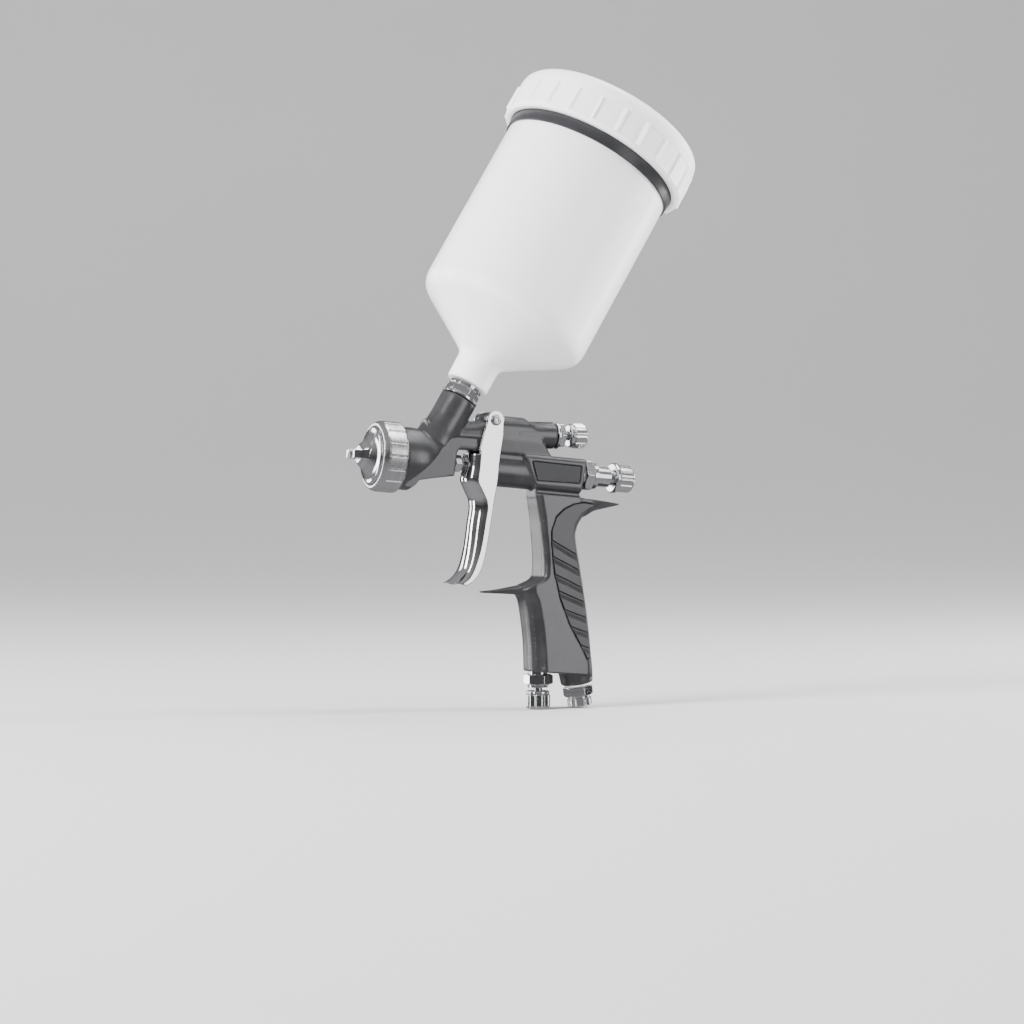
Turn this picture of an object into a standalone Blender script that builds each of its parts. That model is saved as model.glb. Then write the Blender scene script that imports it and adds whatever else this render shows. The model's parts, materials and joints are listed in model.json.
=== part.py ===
"""Gravity-feed air spray gun with a 600 ml cup, as an assembly of separate pieces.

All lengths are in millimetres inside this file and are turned into metres when a
mesh is made. The gun is laid out in its own gun frame: X runs along the fluid
needle from nozzle to rear, Z runs up, the symmetry plane is Y = 0, and the zero
point lies on the needle axis straight below the trigger pivot. The empty
gun_frame tips that frame nose up by GUN_PITCH and puts the middle of the hand
grip at the world origin.
"""

import math

import bmesh
import bpy
from mathutils import Matrix, Vector

MM = 0.001

# ---------------------------------------------------------------- driving sizes
GUN_PITCH = math.radians(4.46)   # nose-up attitude of the needle axis
GRIP_X, GRIP_Z = 48.0, -60.0     # middle of the hand grip, the world origin

PIVOT_Z = 24.1                   # trigger pivot above the needle axis
TRIGGER_W = 9.0                  # half width over the trigger cheeks
PLATE_T = 1.5                    # trigger plate thickness
NOSE = 5.5                       # bulge of the trigger's finger face
BARREL_W = 7.2                   # half width of both barrels
HANDLE_W0, HANDLE_DW = 9.0, 0.024  # handle half width at its top, and its growth
CUP_TILT = math.radians(26.3)    # cup axis back from the gun's Z
CUP_X0 = -34.8                   # where the cup axis meets the needle axis
CUP_R = 46.8                     # cup outer radius
CUP_TOP = 208.6                  # cup rim along the cup axis
HEAD_R = 16.1                    # head radius under the air cap ring
RING_R = 18.5                    # air cap ring
FAN_TILT = math.radians(4.1)     # fan valve axis against the needle axis
INLET_TILT = math.radians(13.1)  # air inlet axis against the gun's Z
THREAD_R = 6.58                  # G 1/4 male thread


# ------------------------------------------------------------------------ scene
for old in list(bpy.data.objects):
    bpy.data.objects.remove(old, do_unlink=True)

gun = bpy.data.objects.new("gun_frame", None)
bpy.context.scene.collection.objects.link(gun)
tip_up = Matrix.Rotation(GUN_PITCH, 4, "Y")
gun.matrix_world = tip_up @ Matrix.Translation((-GRIP_X * MM, 0, -GRIP_Z * MM))


def material(name, colour, metallic, roughness):
    mat = bpy.data.materials.new(name)
    mat.use_nodes = True
    shader = mat.node_tree.nodes["Principled BSDF"]
    shader.inputs["Base Color"].default_value = (*colour, 1)
    shader.inputs["Metallic"].default_value = metallic
    shader.inputs["Roughness"].default_value = roughness
    mat.diffuse_color = (*colour, 1)
    return mat


GUNMETAL = material("anodised_gunmetal", (0.12, 0.12, 0.125), 0.9, 0.32)
INLAY = material("anodised_inlay", (0.09, 0.09, 0.095), 0.85, 0.42)
PLATE = material("satin_plate", (0.17, 0.17, 0.175), 0.9, 0.38)
CHROME = material("chrome", (0.78, 0.78, 0.79), 1.0, 0.08)
STEEL = material("stainless_steel", (0.55, 0.55, 0.55), 1.0, 0.25)
BRASS = material("brass", (0.62, 0.46, 0.2), 1.0, 0.3)
CUP_PP = material("white_polypropylene", (0.84, 0.84, 0.84), 0.0, 0.3)
LID_PP = material("milky_polypropylene", (0.86, 0.86, 0.87), 0.0, 0.4)
RUBBER = material("dark_rubber", (0.05, 0.05, 0.055), 0.0, 0.55)
PTFE = material("ptfe", (0.8, 0.8, 0.78), 0.0, 0.5)


# ---------------------------------------------------------------- mesh functions
def new_object(name, bm, mat, origin=(0, 0, 0), sharp=32):
    """A gun-frame mesh in mm becomes an object whose origin is the given point."""
    bmesh.ops.recalc_face_normals(bm, faces=bm.faces[:])
    shift = Vector(origin)
    for vert in bm.verts:
        vert.co = (vert.co - shift) * MM
    mesh = bpy.data.meshes.new(name)
    bm.to_mesh(mesh)
    bm.free()
    mesh.materials.append(mat)
    mesh.shade_smooth()
    mesh.set_sharp_from_angle(angle=math.radians(sharp))
    obj = bpy.data.objects.new(name, mesh)
    bpy.context.scene.collection.objects.link(obj)
    obj.parent = gun
    obj.location = shift * MM
    return obj


def loft(rings, loop=False):
    """Skins rings of equal length. A ring of one point is a pole."""
    bm = bmesh.new()
    made = [[bm.verts.new(p) for p in ring] for ring in rings]
    pairs = list(zip(made, made[1:]))
    if loop:
        pairs.append((made[-1], made[0]))
    for one, two in pairs:
        count = max(len(one), len(two))
        for i in range(count):
            j = (i + 1) % count
            if len(one) == 1:
                bm.faces.new((one[0], two[j], two[i]))
            elif len(two) == 1:
                bm.faces.new((one[i], one[j], two[0]))
            else:
                bm.faces.new((one[i], one[j], two[j], two[i]))
    if not loop:
        for ring in (made[0], made[-1]):
            if len(ring) > 2:
                bm.faces.new(ring)
    return bm


def outline_factor(kind, angle, index):
    """Radius factor of a cross-section: round, hexagon by its flats, or ribbed."""
    if kind == "hex":
        sector = math.radians(60)
        return 1 / math.cos((angle % sector) - sector / 2)
    if kind == "rib":
        return 1.0 if index % 2 else 0.93
    return 1.0


def turned(profile, n, base, axis, side=(0, 1, 0)):
    """Turns (along, radius[, kind]) points about an axis through base."""
    a = Vector(axis).normalized()
    u = Vector(side).normalized()
    v = a.cross(u)
    centre = Vector(base)
    rings = []
    for point in profile:
        along, radius = point[0], point[1]
        kind = point[2] if len(point) > 2 else "round"
        if radius == 0:
            rings.append([centre + a * along])
            continue
        ring = []
        for i in range(n):
            angle = 2 * math.pi * i / n
            r = radius * outline_factor(kind, angle, i)
            ring.append(centre + a * along + u * r * math.cos(angle) + v * r * math.sin(angle))
        rings.append(ring)
    solid = profile[0][1] == 0 and profile[-1][1] == 0
    if solid:
        # A flat end needs no pole: the first full ring closes it.
        if profile[0][0] == profile[1][0]:
            rings = rings[1:]
        if profile[-1][0] == profile[-2][0]:
            rings = rings[:-1]
    return loft(rings, loop=not solid)


def prism(outline, y0, y1):
    """An XZ outline drawn out along Y. y0 and y1 may be functions of (x, z)."""
    def at(y, x, z):
        return y(x, z) if callable(y) else y
    return loft([[(x, at(y0, x, z), z) for x, z in outline],
                 [(x, at(y1, x, z), z) for x, z in outline]])


def helper(name, bm):
    obj = new_object(name, bm, GUNMETAL)
    obj.hide_render = True
    obj.display_type = "WIRE"
    return obj


def boolean(target, name, bm, operation):
    tool = helper(name, bm)
    mod = target.modifiers.new(name, "BOOLEAN")
    mod.operation = operation
    mod.object = tool
    mod.solver = "EXACT"
    return tool


def join(target, name, bm):
    return boolean(target, name, bm, "UNION")


def cut(target, name, bm):
    return boolean(target, name, bm, "DIFFERENCE")


def spring(name, base, axis, start, end, coil_r, wire_r, turns, mat, per_turn=8, sides=4):
    a = Vector(axis).normalized()
    u = Vector((0, 1, 0))
    v = a.cross(u)
    count = int(turns * per_turn)
    rings = []
    for i in range(count + 1):
        f = i / count
        angle = 2 * math.pi * turns * f
        out = u * math.cos(angle) + v * math.sin(angle)
        centre = Vector(base) + a * (start + (end - start) * f) + out * coil_r
        rings.append([centre + out * wire_r * math.cos(2 * math.pi * k / sides)
                      + a * wire_r * math.sin(2 * math.pi * k / sides) for k in range(sides)])
    return new_object(name, loft(rings), mat, base)


X = (1, 0, 0)
ORIGIN = (0, 0, 0)
CUP_A = (math.sin(CUP_TILT), 0, math.cos(CUP_TILT))
CUP_0 = (CUP_X0, 0, 0)
FAN_A = (math.cos(FAN_TILT), 0, math.sin(FAN_TILT))
FAN_0 = (33.1, 0, 19.3)
REG_A = (math.sin(GUN_PITCH), 0, -math.cos(GUN_PITCH))
REG_0 = (38.9, 0, -107.3)
IN_A = (math.sin(INLET_TILT), 0, -math.cos(INLET_TILT))
IN_0 = (61.3, 0, -107.0)
NEEDLE_MID = (0, 0, 0)


def lathe(name, profile, n, base, axis, mat, side=(0, 1, 0), origin=None, sharp=32):
    return new_object(name, turned(profile, n, base, axis, side), mat, origin or base, sharp)


def handle_w(z):
    return HANDLE_W0 + (-12.4 - z) * HANDLE_DW


# --------------------------------------------------------------------- gun body
body = lathe("gun_body", [
    (-58.5, 0), (-58.5, 15.6), (-58.0, HEAD_R), (-50.4, HEAD_R), (-50.2, 16.3), (-44, 16.5),
    (-38, 15.8), (-30, 12.6), (-22, 8.2), (-21, 0)], 28, ORIGIN, X, GUNMETAL)


def barrel_ring(x, top, half, crease=14.6, low=7.5, low_half=6.4, slope=None):
    """Round-topped barrel section with flat flanks and a crease line."""
    ring = [(-low_half, low), (-half, crease)]
    middle = top - half
    for k in range(9):
        angle = math.pi * k / 8
        ring.append((-half * math.cos(angle), middle + half * math.sin(angle)))
    ring += [(half, crease), (low_half, low)]
    if slope:
        return [(slope(z), y, z) for y, z in ring]
    return [(x, y, z) for y, z in ring]


join(body, "upper_barrel", loft([
    barrel_ring(-37, 21.9, 6.9), barrel_ring(-24, 22.2, 7.1), barrel_ring(-10, 22.9, 7.2),
    barrel_ring(-3.5, 25.6, 7.2), barrel_ring(3, 27.2, 7.2), barrel_ring(12, 27.4, 7.2),
    barrel_ring(0, 27.4, 7.2, slope=lambda z: 19.6 + (27.4 - z) * 0.8)]))
cut(body, "swoosh_left", prism([
    (-51, -25), (-47.6, -12.6), (-37.9, -2.8), (-30.1, 6.2), (-24.4, 12.7), (-21, 13.9),
    (-8, 14), (-8, -25)], -22, -6.6))
cut(body, "swoosh_right", prism([
    (-51, -25), (-47.6, -12.6), (-37.9, -2.8), (-30.1, 6.2), (-24.4, 12.7), (-21, 13.9),
    (-8, 14), (-8, -25)], 6.6, 22))
cut(body, "head_underside", prism([
    (-46, -26), (-43.8, -15.1), (-41.6, -13.4), (-39.6, -10.8), (-31.2, -9), (-15, -6.1),
    (-15, -26)], -23, 23))
join(body, "web", prism([
    (-42, -12), (-40.5, -10.9), (-31.2, -9.2), (-20, -7), (-19.4, 5.4), (-17.6, 8.3),
    (-8, 9), (-8, 14), (-42, 13)], -6.5, 6.5))
join(body, "pivot_boss", turned([(-7.15, 0), (-7.15, 4.5), (7.15, 4.5), (7.15, 0)], 16,
                                (0, 0, PIVOT_Z), (0, 1, 0), (1, 0, 0)))


def barrel_oval(x):
    return [(x, BARREL_W * math.cos(2 * math.pi * k / 24), -1.45 + 8.85 * math.sin(2 * math.pi * k / 24))
            for k in range(24)]


join(body, "lower_barrel", loft([barrel_oval(1.5), barrel_oval(31)]))
join(body, "barrel_web", prism([(3.2, 3), (3.2, 9), (32.5, 9), (32.5, 3)], -5.4, 5.4))
BLOCK = [(5.6, 8.2), (7.4, 7.4), (8.05, 5.6), (8.05, -7.2), (7.4, -9.2), (5.8, -9.9)]
BLOCK = BLOCK + [(-y, z) for y, z in reversed(BLOCK)]
join(body, "block", loft([
    [(18.6 + (7.9 - z) * 0.48, y, z) for y, z in BLOCK],
    [(55.6 - (7.6 - z) * 0.12, y, z) for y, z in BLOCK]]))
join(body, "handle_neck", prism([(27.2, -7), (27.2, -14), (54, -14), (52.5, -7)], -6, 6))


def handle_ring(z, front, rear, round_front):
    """Handle section: flat or rounded front, flat flanks, rounded rear."""
    w = handle_w(z)
    if round_front:
        side = [(front, 2.2), (front + 1.0, 5.6), (front + 3.8, 9.0), (front + 7.2, w)]
    else:
        side = [(front, 3.0), (front, 6.0), (front + 1.5, w - 0.9), (front + 3.0, w)]
    side += [(rear - 4.2, w), (rear - 1.6, w * 0.84), (rear - 0.4, w * 0.52), (rear, w * 0.18)]
    side += [(x, -y) for x, y in reversed(side)]
    return [(x, y, z) for x, y in side]


join(body, "handle", loft([
    handle_ring(-12.4, 27.1, 57.0, False), handle_ring(-18, 28.3, 57.6, False),
    handle_ring(-22, 29.3, 56.8, False), handle_ring(-27, 30.4, 54.2, False),
    handle_ring(-32.4, 31.3, 53.2, False), handle_ring(-41, 32.8, 54.9, False),
    handle_ring(-50, 33.9, 57.2, False), handle_ring(-55, 34.0, 58.4, False),
    handle_ring(-58, 31.9, 59.2, False), handle_ring(-61, 26.4, 59.9, False),
    handle_ring(-64, 22.2, 60.6, True), handle_ring(-69.3, 24.9, 61.8, True),
    handle_ring(-79.7, 27.6, 64.0, True), handle_ring(-93, 30.1, 66.4, True),
    handle_ring(-106.6, 31.6, 68.0, True)]))
join(body, "finger_spur", loft([
    [(x, -half, top), (x, half, top), (x, half * 0.86, low), (x, -half * 0.86, low)]
    for x, half, top, low in ((1.6, 1.5, -66.0, -66.8), (10.5, 4.2, -64.7, -66.6), (17.5, 5.6, -63.2, -66.4),
                              (21.9, 5.9, -62.1, -66.3), (28.8, 5.9, -60.3, -66.2),
                              (33.4, 5.9, -57.2, -66.1), (38, 5.9, -57, -66.0))]))


def hook_ring(x, low, half, high):
    return [(x, -half, high), (x, -half, (high + low) / 2), (x, -half * 0.55, low),
            (x, half * 0.55, low), (x, half, (high + low) / 2), (x, half, high)]


join(body, "rear_hook", loft([
    hook_ring(50, -26, 8.7, -12.5), hook_ring(58.4, -21.9, 8.9, -12.6),
    hook_ring(63, -18.9, 8.2, -12.8), hook_ring(68.9, -17.2, 6.2, -13.0),
    hook_ring(74.8, -15.6, 4.2, -13.3), hook_ring(79.6, -14.3, 2.4, -13.5)]))
join(body, "cup_stem", turned([
    (9, 0), (9, 12.2), (14, 11.4), (19, 10.2), (25, 9.75), (37.5, 9.75), (37.5, 0)], 24, CUP_0, CUP_A))
join(body, "fan_cylinder", turned([(-18, 0), (-18, 7.2), (4.2, 7.2), (4.8, 6.7), (4.8, 0)], 20,
                                  FAN_0, FAN_A))
join(body, "inlet_boss", turned([(-9, 0), (-9, 9.6), (-2, 9.2), (4.0, 8.7), (4.6, 8.2), (4.6, 0)],
                                20, IN_0, IN_A))

# Bores and pockets.
cut(body, "nozzle_bore", turned([(-60, 0), (-60, 7.1), (-40, 7.1), (-40, 0)], 16, ORIGIN, X))
cut(body, "air_chamber", turned([(-60, 10.0), (-60, 13.4), (-50, 13.4), (-50, 10.0)], 18, ORIGIN, X, (0, 0.99, 0.14)))
cut(body, "fluid_bore", turned([(-41, 0), (-41, 3.0), (-26.3, 3.0), (-26.3, 0)], 10, ORIGIN, X))
cut(body, "packing_bore", turned([(-27, 0), (-27, 4.0), (-16, 4.0), (-16, 0)], 12, ORIGIN, X))
cut(body, "stem_bore", turned([(3, 0), (3, 2.9), (29.5, 2.9), (29.5, 5.6), (39, 5.6), (39, 0)], 14,
                              CUP_0, CUP_A))
cut(body, "valve_bore", turned([(0, 0), (0, 5.6), (38, 5.6), (38, 6.3), (58, 6.3), (58, 0)], 16, ORIGIN, X))
cut(body, "fan_bore", turned([(-16.5, 0), (-16.5, 4.8), (6, 4.8), (6, 0)], 12, FAN_0, FAN_A))
cut(body, "regulator_bore", turned([(-13, 0), (-13, 5.2), (2, 5.2), (2, 0)], 12, REG_0, REG_A))
cut(body, "inlet_bore", turned([(-6, 0), (-6, 4.6), (6, 4.6), (6, 0)], 12, IN_0, IN_A))
duct = Vector((41, 0, -3)) - Vector((60.2, 0, -104))
cut(body, "air_duct", turned([(0, 0), (0, 2.8), (duct.length, 2.8), (duct.length, 0)], 8,
                             (60.2, 0, -104), duct))
cut(body, "pin_bore", turned([(-9, 0), (-9, 2.3), (9, 2.3), (9, 0)], 12, (0, 0, PIVOT_Z), (0, 1, 0), (1, 0, 0)))

PLATE_EDGE = [(23.2, 4.7), (52.4, 4.3), (52.0, -5.1), (26.9, -5.7)]
GRIP_EDGE = [
    (61, -15.4), (54.7, -14.9), (48.9, -16.2), (43.2, -19.3), (38.8, -23.9), (36.6, -31), (37.1, -38.9),
    (38.3, -46.8), (40, -54.6), (43.9, -66.6), (49.6, -79), (55.7, -88.2), (59.7, -94.4), (62.4, -98.8),
    (64.2, -96.4), (62.6, -87.9), (60.0, -74.7), (56.9, -61.5), (54.9, -53.6), (51.8, -40.5), (50.0, -32.6),
    (50.8, -26.7), (53.9, -21.3), (58.4, -17.9), (61, -16.9)]


def inset(outline, gap):
    """Moves every edge of a closed XZ outline inwards by gap."""
    area = sum(a[0] * b[1] - b[0] * a[1] for a, b in zip(outline, outline[1:] + outline[:1]))
    sign = 1 if area > 0 else -1
    lines = []
    for (x0, z0), (x1, z1) in zip(outline, outline[1:] + outline[:1]):
        length = math.hypot(x1 - x0, z1 - z0)
        nx, nz = -(z1 - z0) / length * sign, (x1 - x0) / length * sign
        lines.append((x0 + nx * gap, z0 + nz * gap, x1 - x0, z1 - z0))
    result = []
    for (ax, az, adx, adz), (bx, bz, bdx, bdz) in zip(lines[-1:] + lines[:-1], lines):
        cross = adx * bdz - adz * bdx
        if abs(cross) < 1e-9:
            result.append((bx, bz))
            continue
        t = ((bx - ax) * bdz - (bz - az) * bdx) / cross
        result.append((ax + adx * t, az + adz * t))
    return result


for side_name, sign in (("left", -1), ("right", 1)):
    cut(body, f"plate_pocket_{side_name}", prism(PLATE_EDGE, 7.1 * sign, 9 * sign))
    new_object(f"side_plate_{side_name}", prism(inset(PLATE_EDGE, 0.3), 7.4 * sign, 8.0 * sign), PLATE,
               (38, 7.7 * sign, 0))
    cut(body, f"grip_pocket_{side_name}", prism(
        GRIP_EDGE, lambda x, z, s=sign: s * (handle_w(z) - 1.3), lambda x, z, s=sign: s * (handle_w(z) + 2)))
    new_object(f"grip_inlay_{side_name}", prism(
        inset(GRIP_EDGE, 0.35), lambda x, z, s=sign: s * (handle_w(z) - 1.0),
        lambda x, z, s=sign: s * (handle_w(z) + 0.1)), INLAY, (50, 10 * sign, -60))

# ------------------------------------------------------------- spray head pieces
lathe("fluid_nozzle", [
    (-72.0, 1.3), (-69.5, 2.2), (-66, 4.4), (-62.4, 5.8), (-62.2, 7.0, "hex"), (-58.8, 7.0, "hex"),
    (-58.8, 6.7), (-42, 6.7), (-42, 2.3), (-64, 2.3), (-67.5, 1.8), (-72.0, 0.85)], 12, ORIGIN, X, STEEL)
lathe("air_distributor", [(-60.2, 8.5), (-60.2, 14.5), (-58.8, 14.5), (-58.8, 8.5)], 18, ORIGIN, X, BRASS)
cap = lathe("air_cap", [
    (-60.5, 13.2), (-60.5, 16.1), (-61.5, 16.1), (-61.5, 15.3), (-64.8, 15.3), (-65.5, 14.4), (-66.4, 11.4),
    (-68.8, 8.0), (-71.2, 5.9), (-72.4, 4.4), (-72.4, 1.75), (-70.9, 1.75), (-69.6, 4.6), (-65.6, 8.8),
    (-63.4, 12.4)], 20, ORIGIN, X, CHROME)


def horn(sign):
    def ring(x, y0, y1, h):
        return [(x, sign * y0, -h), (x, sign * y1, -h * 0.85), (x, sign * (y1 + 0.5), 0), (x, sign * y1, h * 0.85),
                (x, sign * y0, h), (x, sign * y0, 0)]
    return loft([ring(-66.0, 7.2, 10.6, 4.6), ring(-68.6, 5.4, 8.8, 3.4), ring(-71.0, 4.6, 7.4, 2.6),
                 ring(-76.4, 3.7, 5.9, 2.3)])


for side_name, sign in (("left", -1), ("right", 1)):
    join(cap, f"horn_{side_name}", horn(sign))
lathe("air_cap_snap_ring", [(-60.2, 15.0), (-60.2, 16.2), (-59.5, 16.2), (-59.5, 15.0)], 18, ORIGIN, X, STEEL)


def ring_profile():
    return [(-50.6, 16.45), (-50.6, 17.3), (-51.8, RING_R, "rib"), (-61.6, RING_R, "rib"),
            (-62.2, 18.1), (-64.3, 17.0), (-64.3, 15.7), (-61.8, 15.7), (-61.8, 16.45)]


lathe("air_cap_ring", ring_profile(), 32, ORIGIN, X, CHROME)

# --------------------------------------------------------- needle and air valve
lathe("fluid_needle", [(-72.8, 0), (-72.8, 0.18), (-71.2, 0.42), (-66, 1.25), (74, 1.25), (74, 0)], 12,
      ORIGIN, X, STEEL)
lathe("packing_seal", [(-26, 1.6), (-26, 3.7), (-23.7, 3.7), (-23.7, 1.6)], 12, ORIGIN, X, PTFE)
lathe("packing_gland", [(-23.4, 1.6), (-23.4, 3.7), (-19.0, 3.7), (-19.0, 4.3, "hex"), (-15.4, 4.3, "hex"),
                        (-14.4, 3.6), (-14.4, 1.6)], 12, ORIGIN, X, CHROME)
lathe("air_valve_guide", [(-1.3, 2.5), (-1.3, 5.4), (-0.7, 6.0), (1.2, 6.0), (1.2, 5.3), (12.8, 5.3),
                          (12.8, 2.5)], 16, ORIGIN, X, CHROME)
lathe("air_valve_rod", [(-9.6, 1.6), (-9.6, 3.6), (-9.0, 4.2), (-7.8, 4.2), (-7.8, 2.1), (18.1, 2.1),
                        (18.1, 4.6), (21, 4.6), (21, 1.6)], 16, ORIGIN, X, STEEL)
lathe("air_valve_seat", [(13.2, 3.0), (13.2, 5.3), (17.7, 5.3), (17.7, 3.0)], 16, ORIGIN, X, PTFE)
spring("air_valve_spring", ORIGIN, X, 22.2, 32.6, 3.6, 0.45, 4.5, STEEL)
lathe("air_valve_spring_seat", [(33.5, 1.7), (33.5, 5.3), (36, 5.3), (36, 1.7)], 16, ORIGIN, X, BRASS)
lathe("needle_chuck", [(44, 1.5), (44, 3.1), (44.6, 3.7), (49, 3.7), (49, 1.5)], 12, ORIGIN, X, BRASS)
spring("needle_spring", ORIGIN, X, 49.8, 66.1, 2.4, 0.35, 6.5, STEEL)
lathe("needle_spring_guide", [(66.8, 1.6), (66.8, 2.9), (68.2, 2.9), (68.2, 2.2), (80, 2.2), (80, 1.6)], 12,
      ORIGIN, X, BRASS)
lathe("rear_bush", [(41.5, 4.4), (41.5, 6.0), (56.3, 6.0), (56.3, 7.6, "hex"), (61.0, 7.6, "hex"), (61.4, 7.0),
                    (64.2, 7.0), (64.5, 5.4), (72, 5.4), (72, 4.4)], 12, ORIGIN, X, CHROME)
lathe("fluid_knob", [
    (83.5, 0), (83.5, 3.2), (59, 3.2), (59, 4.0), (74, 4.0), (74, 7.6), (74.6, 8.2), (76.8, 8.2), (77.3, 7.3, "rib"), (84.6, 7.3, "rib"), (85.8, 5.8), (85.8, 0)], 24, ORIGIN, X, CHROME)

# -------------------------------------------------------------------- fan valve
lathe("fan_valve_housing", [(-11.5, 2.6), (-11.5, 4.5), (5.1, 4.5), (5.1, 7.2), (6.8, 7.2), (6.8, 5.9, "hex"),
                            (10.4, 5.9, "hex"), (10.4, 2.6)], 12, FAN_0, FAN_A, CHROME)
lathe("fan_spindle_seal", [(-15.2, 2.5), (-15.2, 4.3), (-13.9, 4.3), (-13.9, 2.5)], 12, FAN_0, FAN_A, RUBBER)
lathe("fan_spindle", [(-15.8, 0), (-15.8, 2.2), (19.6, 2.2), (19.6, 0)], 12, FAN_0, FAN_A, STEEL)
lathe("fan_knob", [(13.4, 2.5), (13.4, 5.6), (14.2, 6.3), (15.0, 6.3), (15.2, 5.7), (15.8, 6.7, "rib"),
                   (22.0, 6.7, "rib"), (23.2, 5.2), (23.2, 2.5)], 20, FAN_0, FAN_A, CHROME)
lathe("fan_knob_screw", [(20.0, 0), (20.0, 1.4), (21.4, 1.4), (21.4, 2.2), (23.4, 2.2), (23.4, 0)], 12,
      FAN_0, FAN_A, STEEL)

# ---------------------------------------------------------------- air regulator
lathe("regulator_bush", [(-7, 2.6), (-7, 4.9), (0.5, 4.9), (0.5, 6.9, "hex"), (5.9, 6.9, "hex"), (6.1, 5.5),
                         (7.5, 5.5), (7.5, 2.6)], 12, REG_0, REG_A, CHROME)
lathe("regulator_seal", [(-11.2, 2.5), (-11.2, 4.7), (-9.8, 4.7), (-9.8, 2.5)], 12, REG_0, REG_A, RUBBER)
lathe("regulator_spindle", [(-12, 0), (-12, 2.2), (15.4, 2.2), (15.4, 0)], 12, REG_0, REG_A, STEEL)
lathe("regulator_knob", [(9.2, 2.5), (9.2, 5.6), (9.8, 6.3), (10.6, 6.3), (10.8, 5.7), (11.2, 6.5, "rib"),
                         (17.6, 6.5, "rib"), (18.9, 5.4), (18.9, 2.5)], 20, REG_0, REG_A, CHROME)
lathe("regulator_knob_screw", [(15.8, 0), (15.8, 1.4), (16.9, 1.4), (16.9, 2.2), (18.6, 2.2), (18.6, 0)], 12,
      REG_0, REG_A, STEEL)

# -------------------------------------------------------------------- air inlet
lathe("inlet_gasket", [(4.9, 5.0), (4.9, 7.4), (5.7, 7.4), (5.7, 5.0)], 16, IN_0, IN_A, PTFE)
lathe("inlet_nipple", [(-4, 3.2), (-4, 4.3), (6.0, 4.3), (6.0, 7.0, "hex"), (11.2, 7.0, "hex"), (11.4, 5.8),
                       (12.2, 5.8), (12.4, THREAD_R), (16.3, THREAD_R), (16.7, 6.1), (16.7, 3.2)], 12,
      IN_0, IN_A, CHROME)


# ---------------------------------------------------------------------- trigger
def nose_ring(z, rear, front, bulge):
    """U-shaped section of the finger plate: cheeks joined round a bulged nose."""
    outer, inner = [], []
    w, t = TRIGGER_W - 0.12, PLATE_T - 0.2
    outer.append((rear, w))
    inner.append((rear, w - t))
    for k in range(9):
        angle = math.pi * k / 8
        y, out = math.cos(angle), math.sin(angle)
        outer.append((front - bulge * out, w * y))
        inner.append((front + 0.25 - (bulge - t + 0.25) * out, (w - t) * y))
    outer.append((rear, -w))
    inner.append((rear, t - w))
    return [(x, y, z) for x, y in outer + inner[::-1]]


def cheek_top(z0, x_front, x_rear, steps=8):
    """Round top of a cheek about the pivot."""
    r = 5.0
    a0 = math.atan2(z0 - PIVOT_Z, x_rear)
    a1 = math.atan2(z0 - PIVOT_Z, x_front)
    if a1 < a0:
        a1 += 2 * math.pi
    return [(r * math.cos(a0 + (a1 - a0) * k / steps), PIVOT_Z + r * math.sin(a0 + (a1 - a0) * k / steps))
            for k in range(steps + 1)]


CHEEK = [(-12.6, -63.3), (-9.6, -63.6), (-6.4, -61.4), (-3.3, -57.2), (-1.5, -52.2), (-0.1, -44.2), (1.1, -33.6),
         (2.4, -17.8), (3.6, -7.2), (3.9, 3.4), (5.1, 16.7)]
CHEEK += cheek_top(22.5, -4.9, 4.9)
CHEEK += [(-6.4, 17.2), (-8.2, 7.6), (-7.3, 6.4), (-7.3, -0.2), (-7.8, -8.1), (-4.5, -14.1), (-1.6, -19.6),
          (-1.2, -22.6), (-1.8, -28.6), (-3.1, -41.8), (-5.5, -52.2), (-8.4, -59.4)]
trigger = new_object("trigger", loft([
    nose_ring(5.6, -5.2, -6.7, 5.9), nose_ring(-0.9, -5.2, -6.7, 6.0), nose_ring(-7.6, -5.4, -7.1, 6.2),
    nose_ring(-13.4, -2.8, -4.3, 6.4), nose_ring(-19.1, 0.2, -1.2, 6.4), nose_ring(-23.1, 0.6, -0.6, 6.5),
    nose_ring(-29.2, 0.2, -1.2, 6.4), nose_ring(-41.2, -1.0, -2.4, 5.9), nose_ring(-51.6, -3.2, -4.7, 5.1),
    nose_ring(-56.8, -5.2, -6.7, 5.1), nose_ring(-60.9, -7.8, -9.8, 5.6), nose_ring(-63.0, -10.6, -13.0, 5.8)]),
    CHROME, (0, 0, PIVOT_Z))
for side_name, sign in (("left", -1), ("right", 1)):
    join(trigger, f"cheek_{side_name}", prism(CHEEK, sign * TRIGGER_W, sign * (TRIGGER_W - PLATE_T)))
cut(trigger, "needle_slot", prism([(-16, 10), (-2, 10), (-2, -6.5), (-16, -6.5)], -3.5, 3.5))
cut(trigger, "trigger_pin_hole", turned([(-12, 0), (-12, 2.3), (12, 2.3), (12, 0)], 16, (0, 0, PIVOT_Z),
                                        (0, 1, 0), (1, 0, 0)))
lathe("trigger_pin", [(-10.1, 0), (-10.1, 2.4), (-9.3, 3.0), (-9.3, 2.0), (8.9, 2.0), (8.9, 1.3), (2, 1.3), (2, 0)],
      16, (0, 0, PIVOT_Z), (0, 1, 0), STEEL, (1, 0, 0))
lathe("trigger_screw", [(2.4, 0), (2.4, 1.0), (9.3, 1.0), (9.3, 3.0), (10.1, 2.4), (10.1, 0)], 16,
      (0, 0, PIVOT_Z), (0, 1, 0), STEEL, (1, 0, 0))

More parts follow.
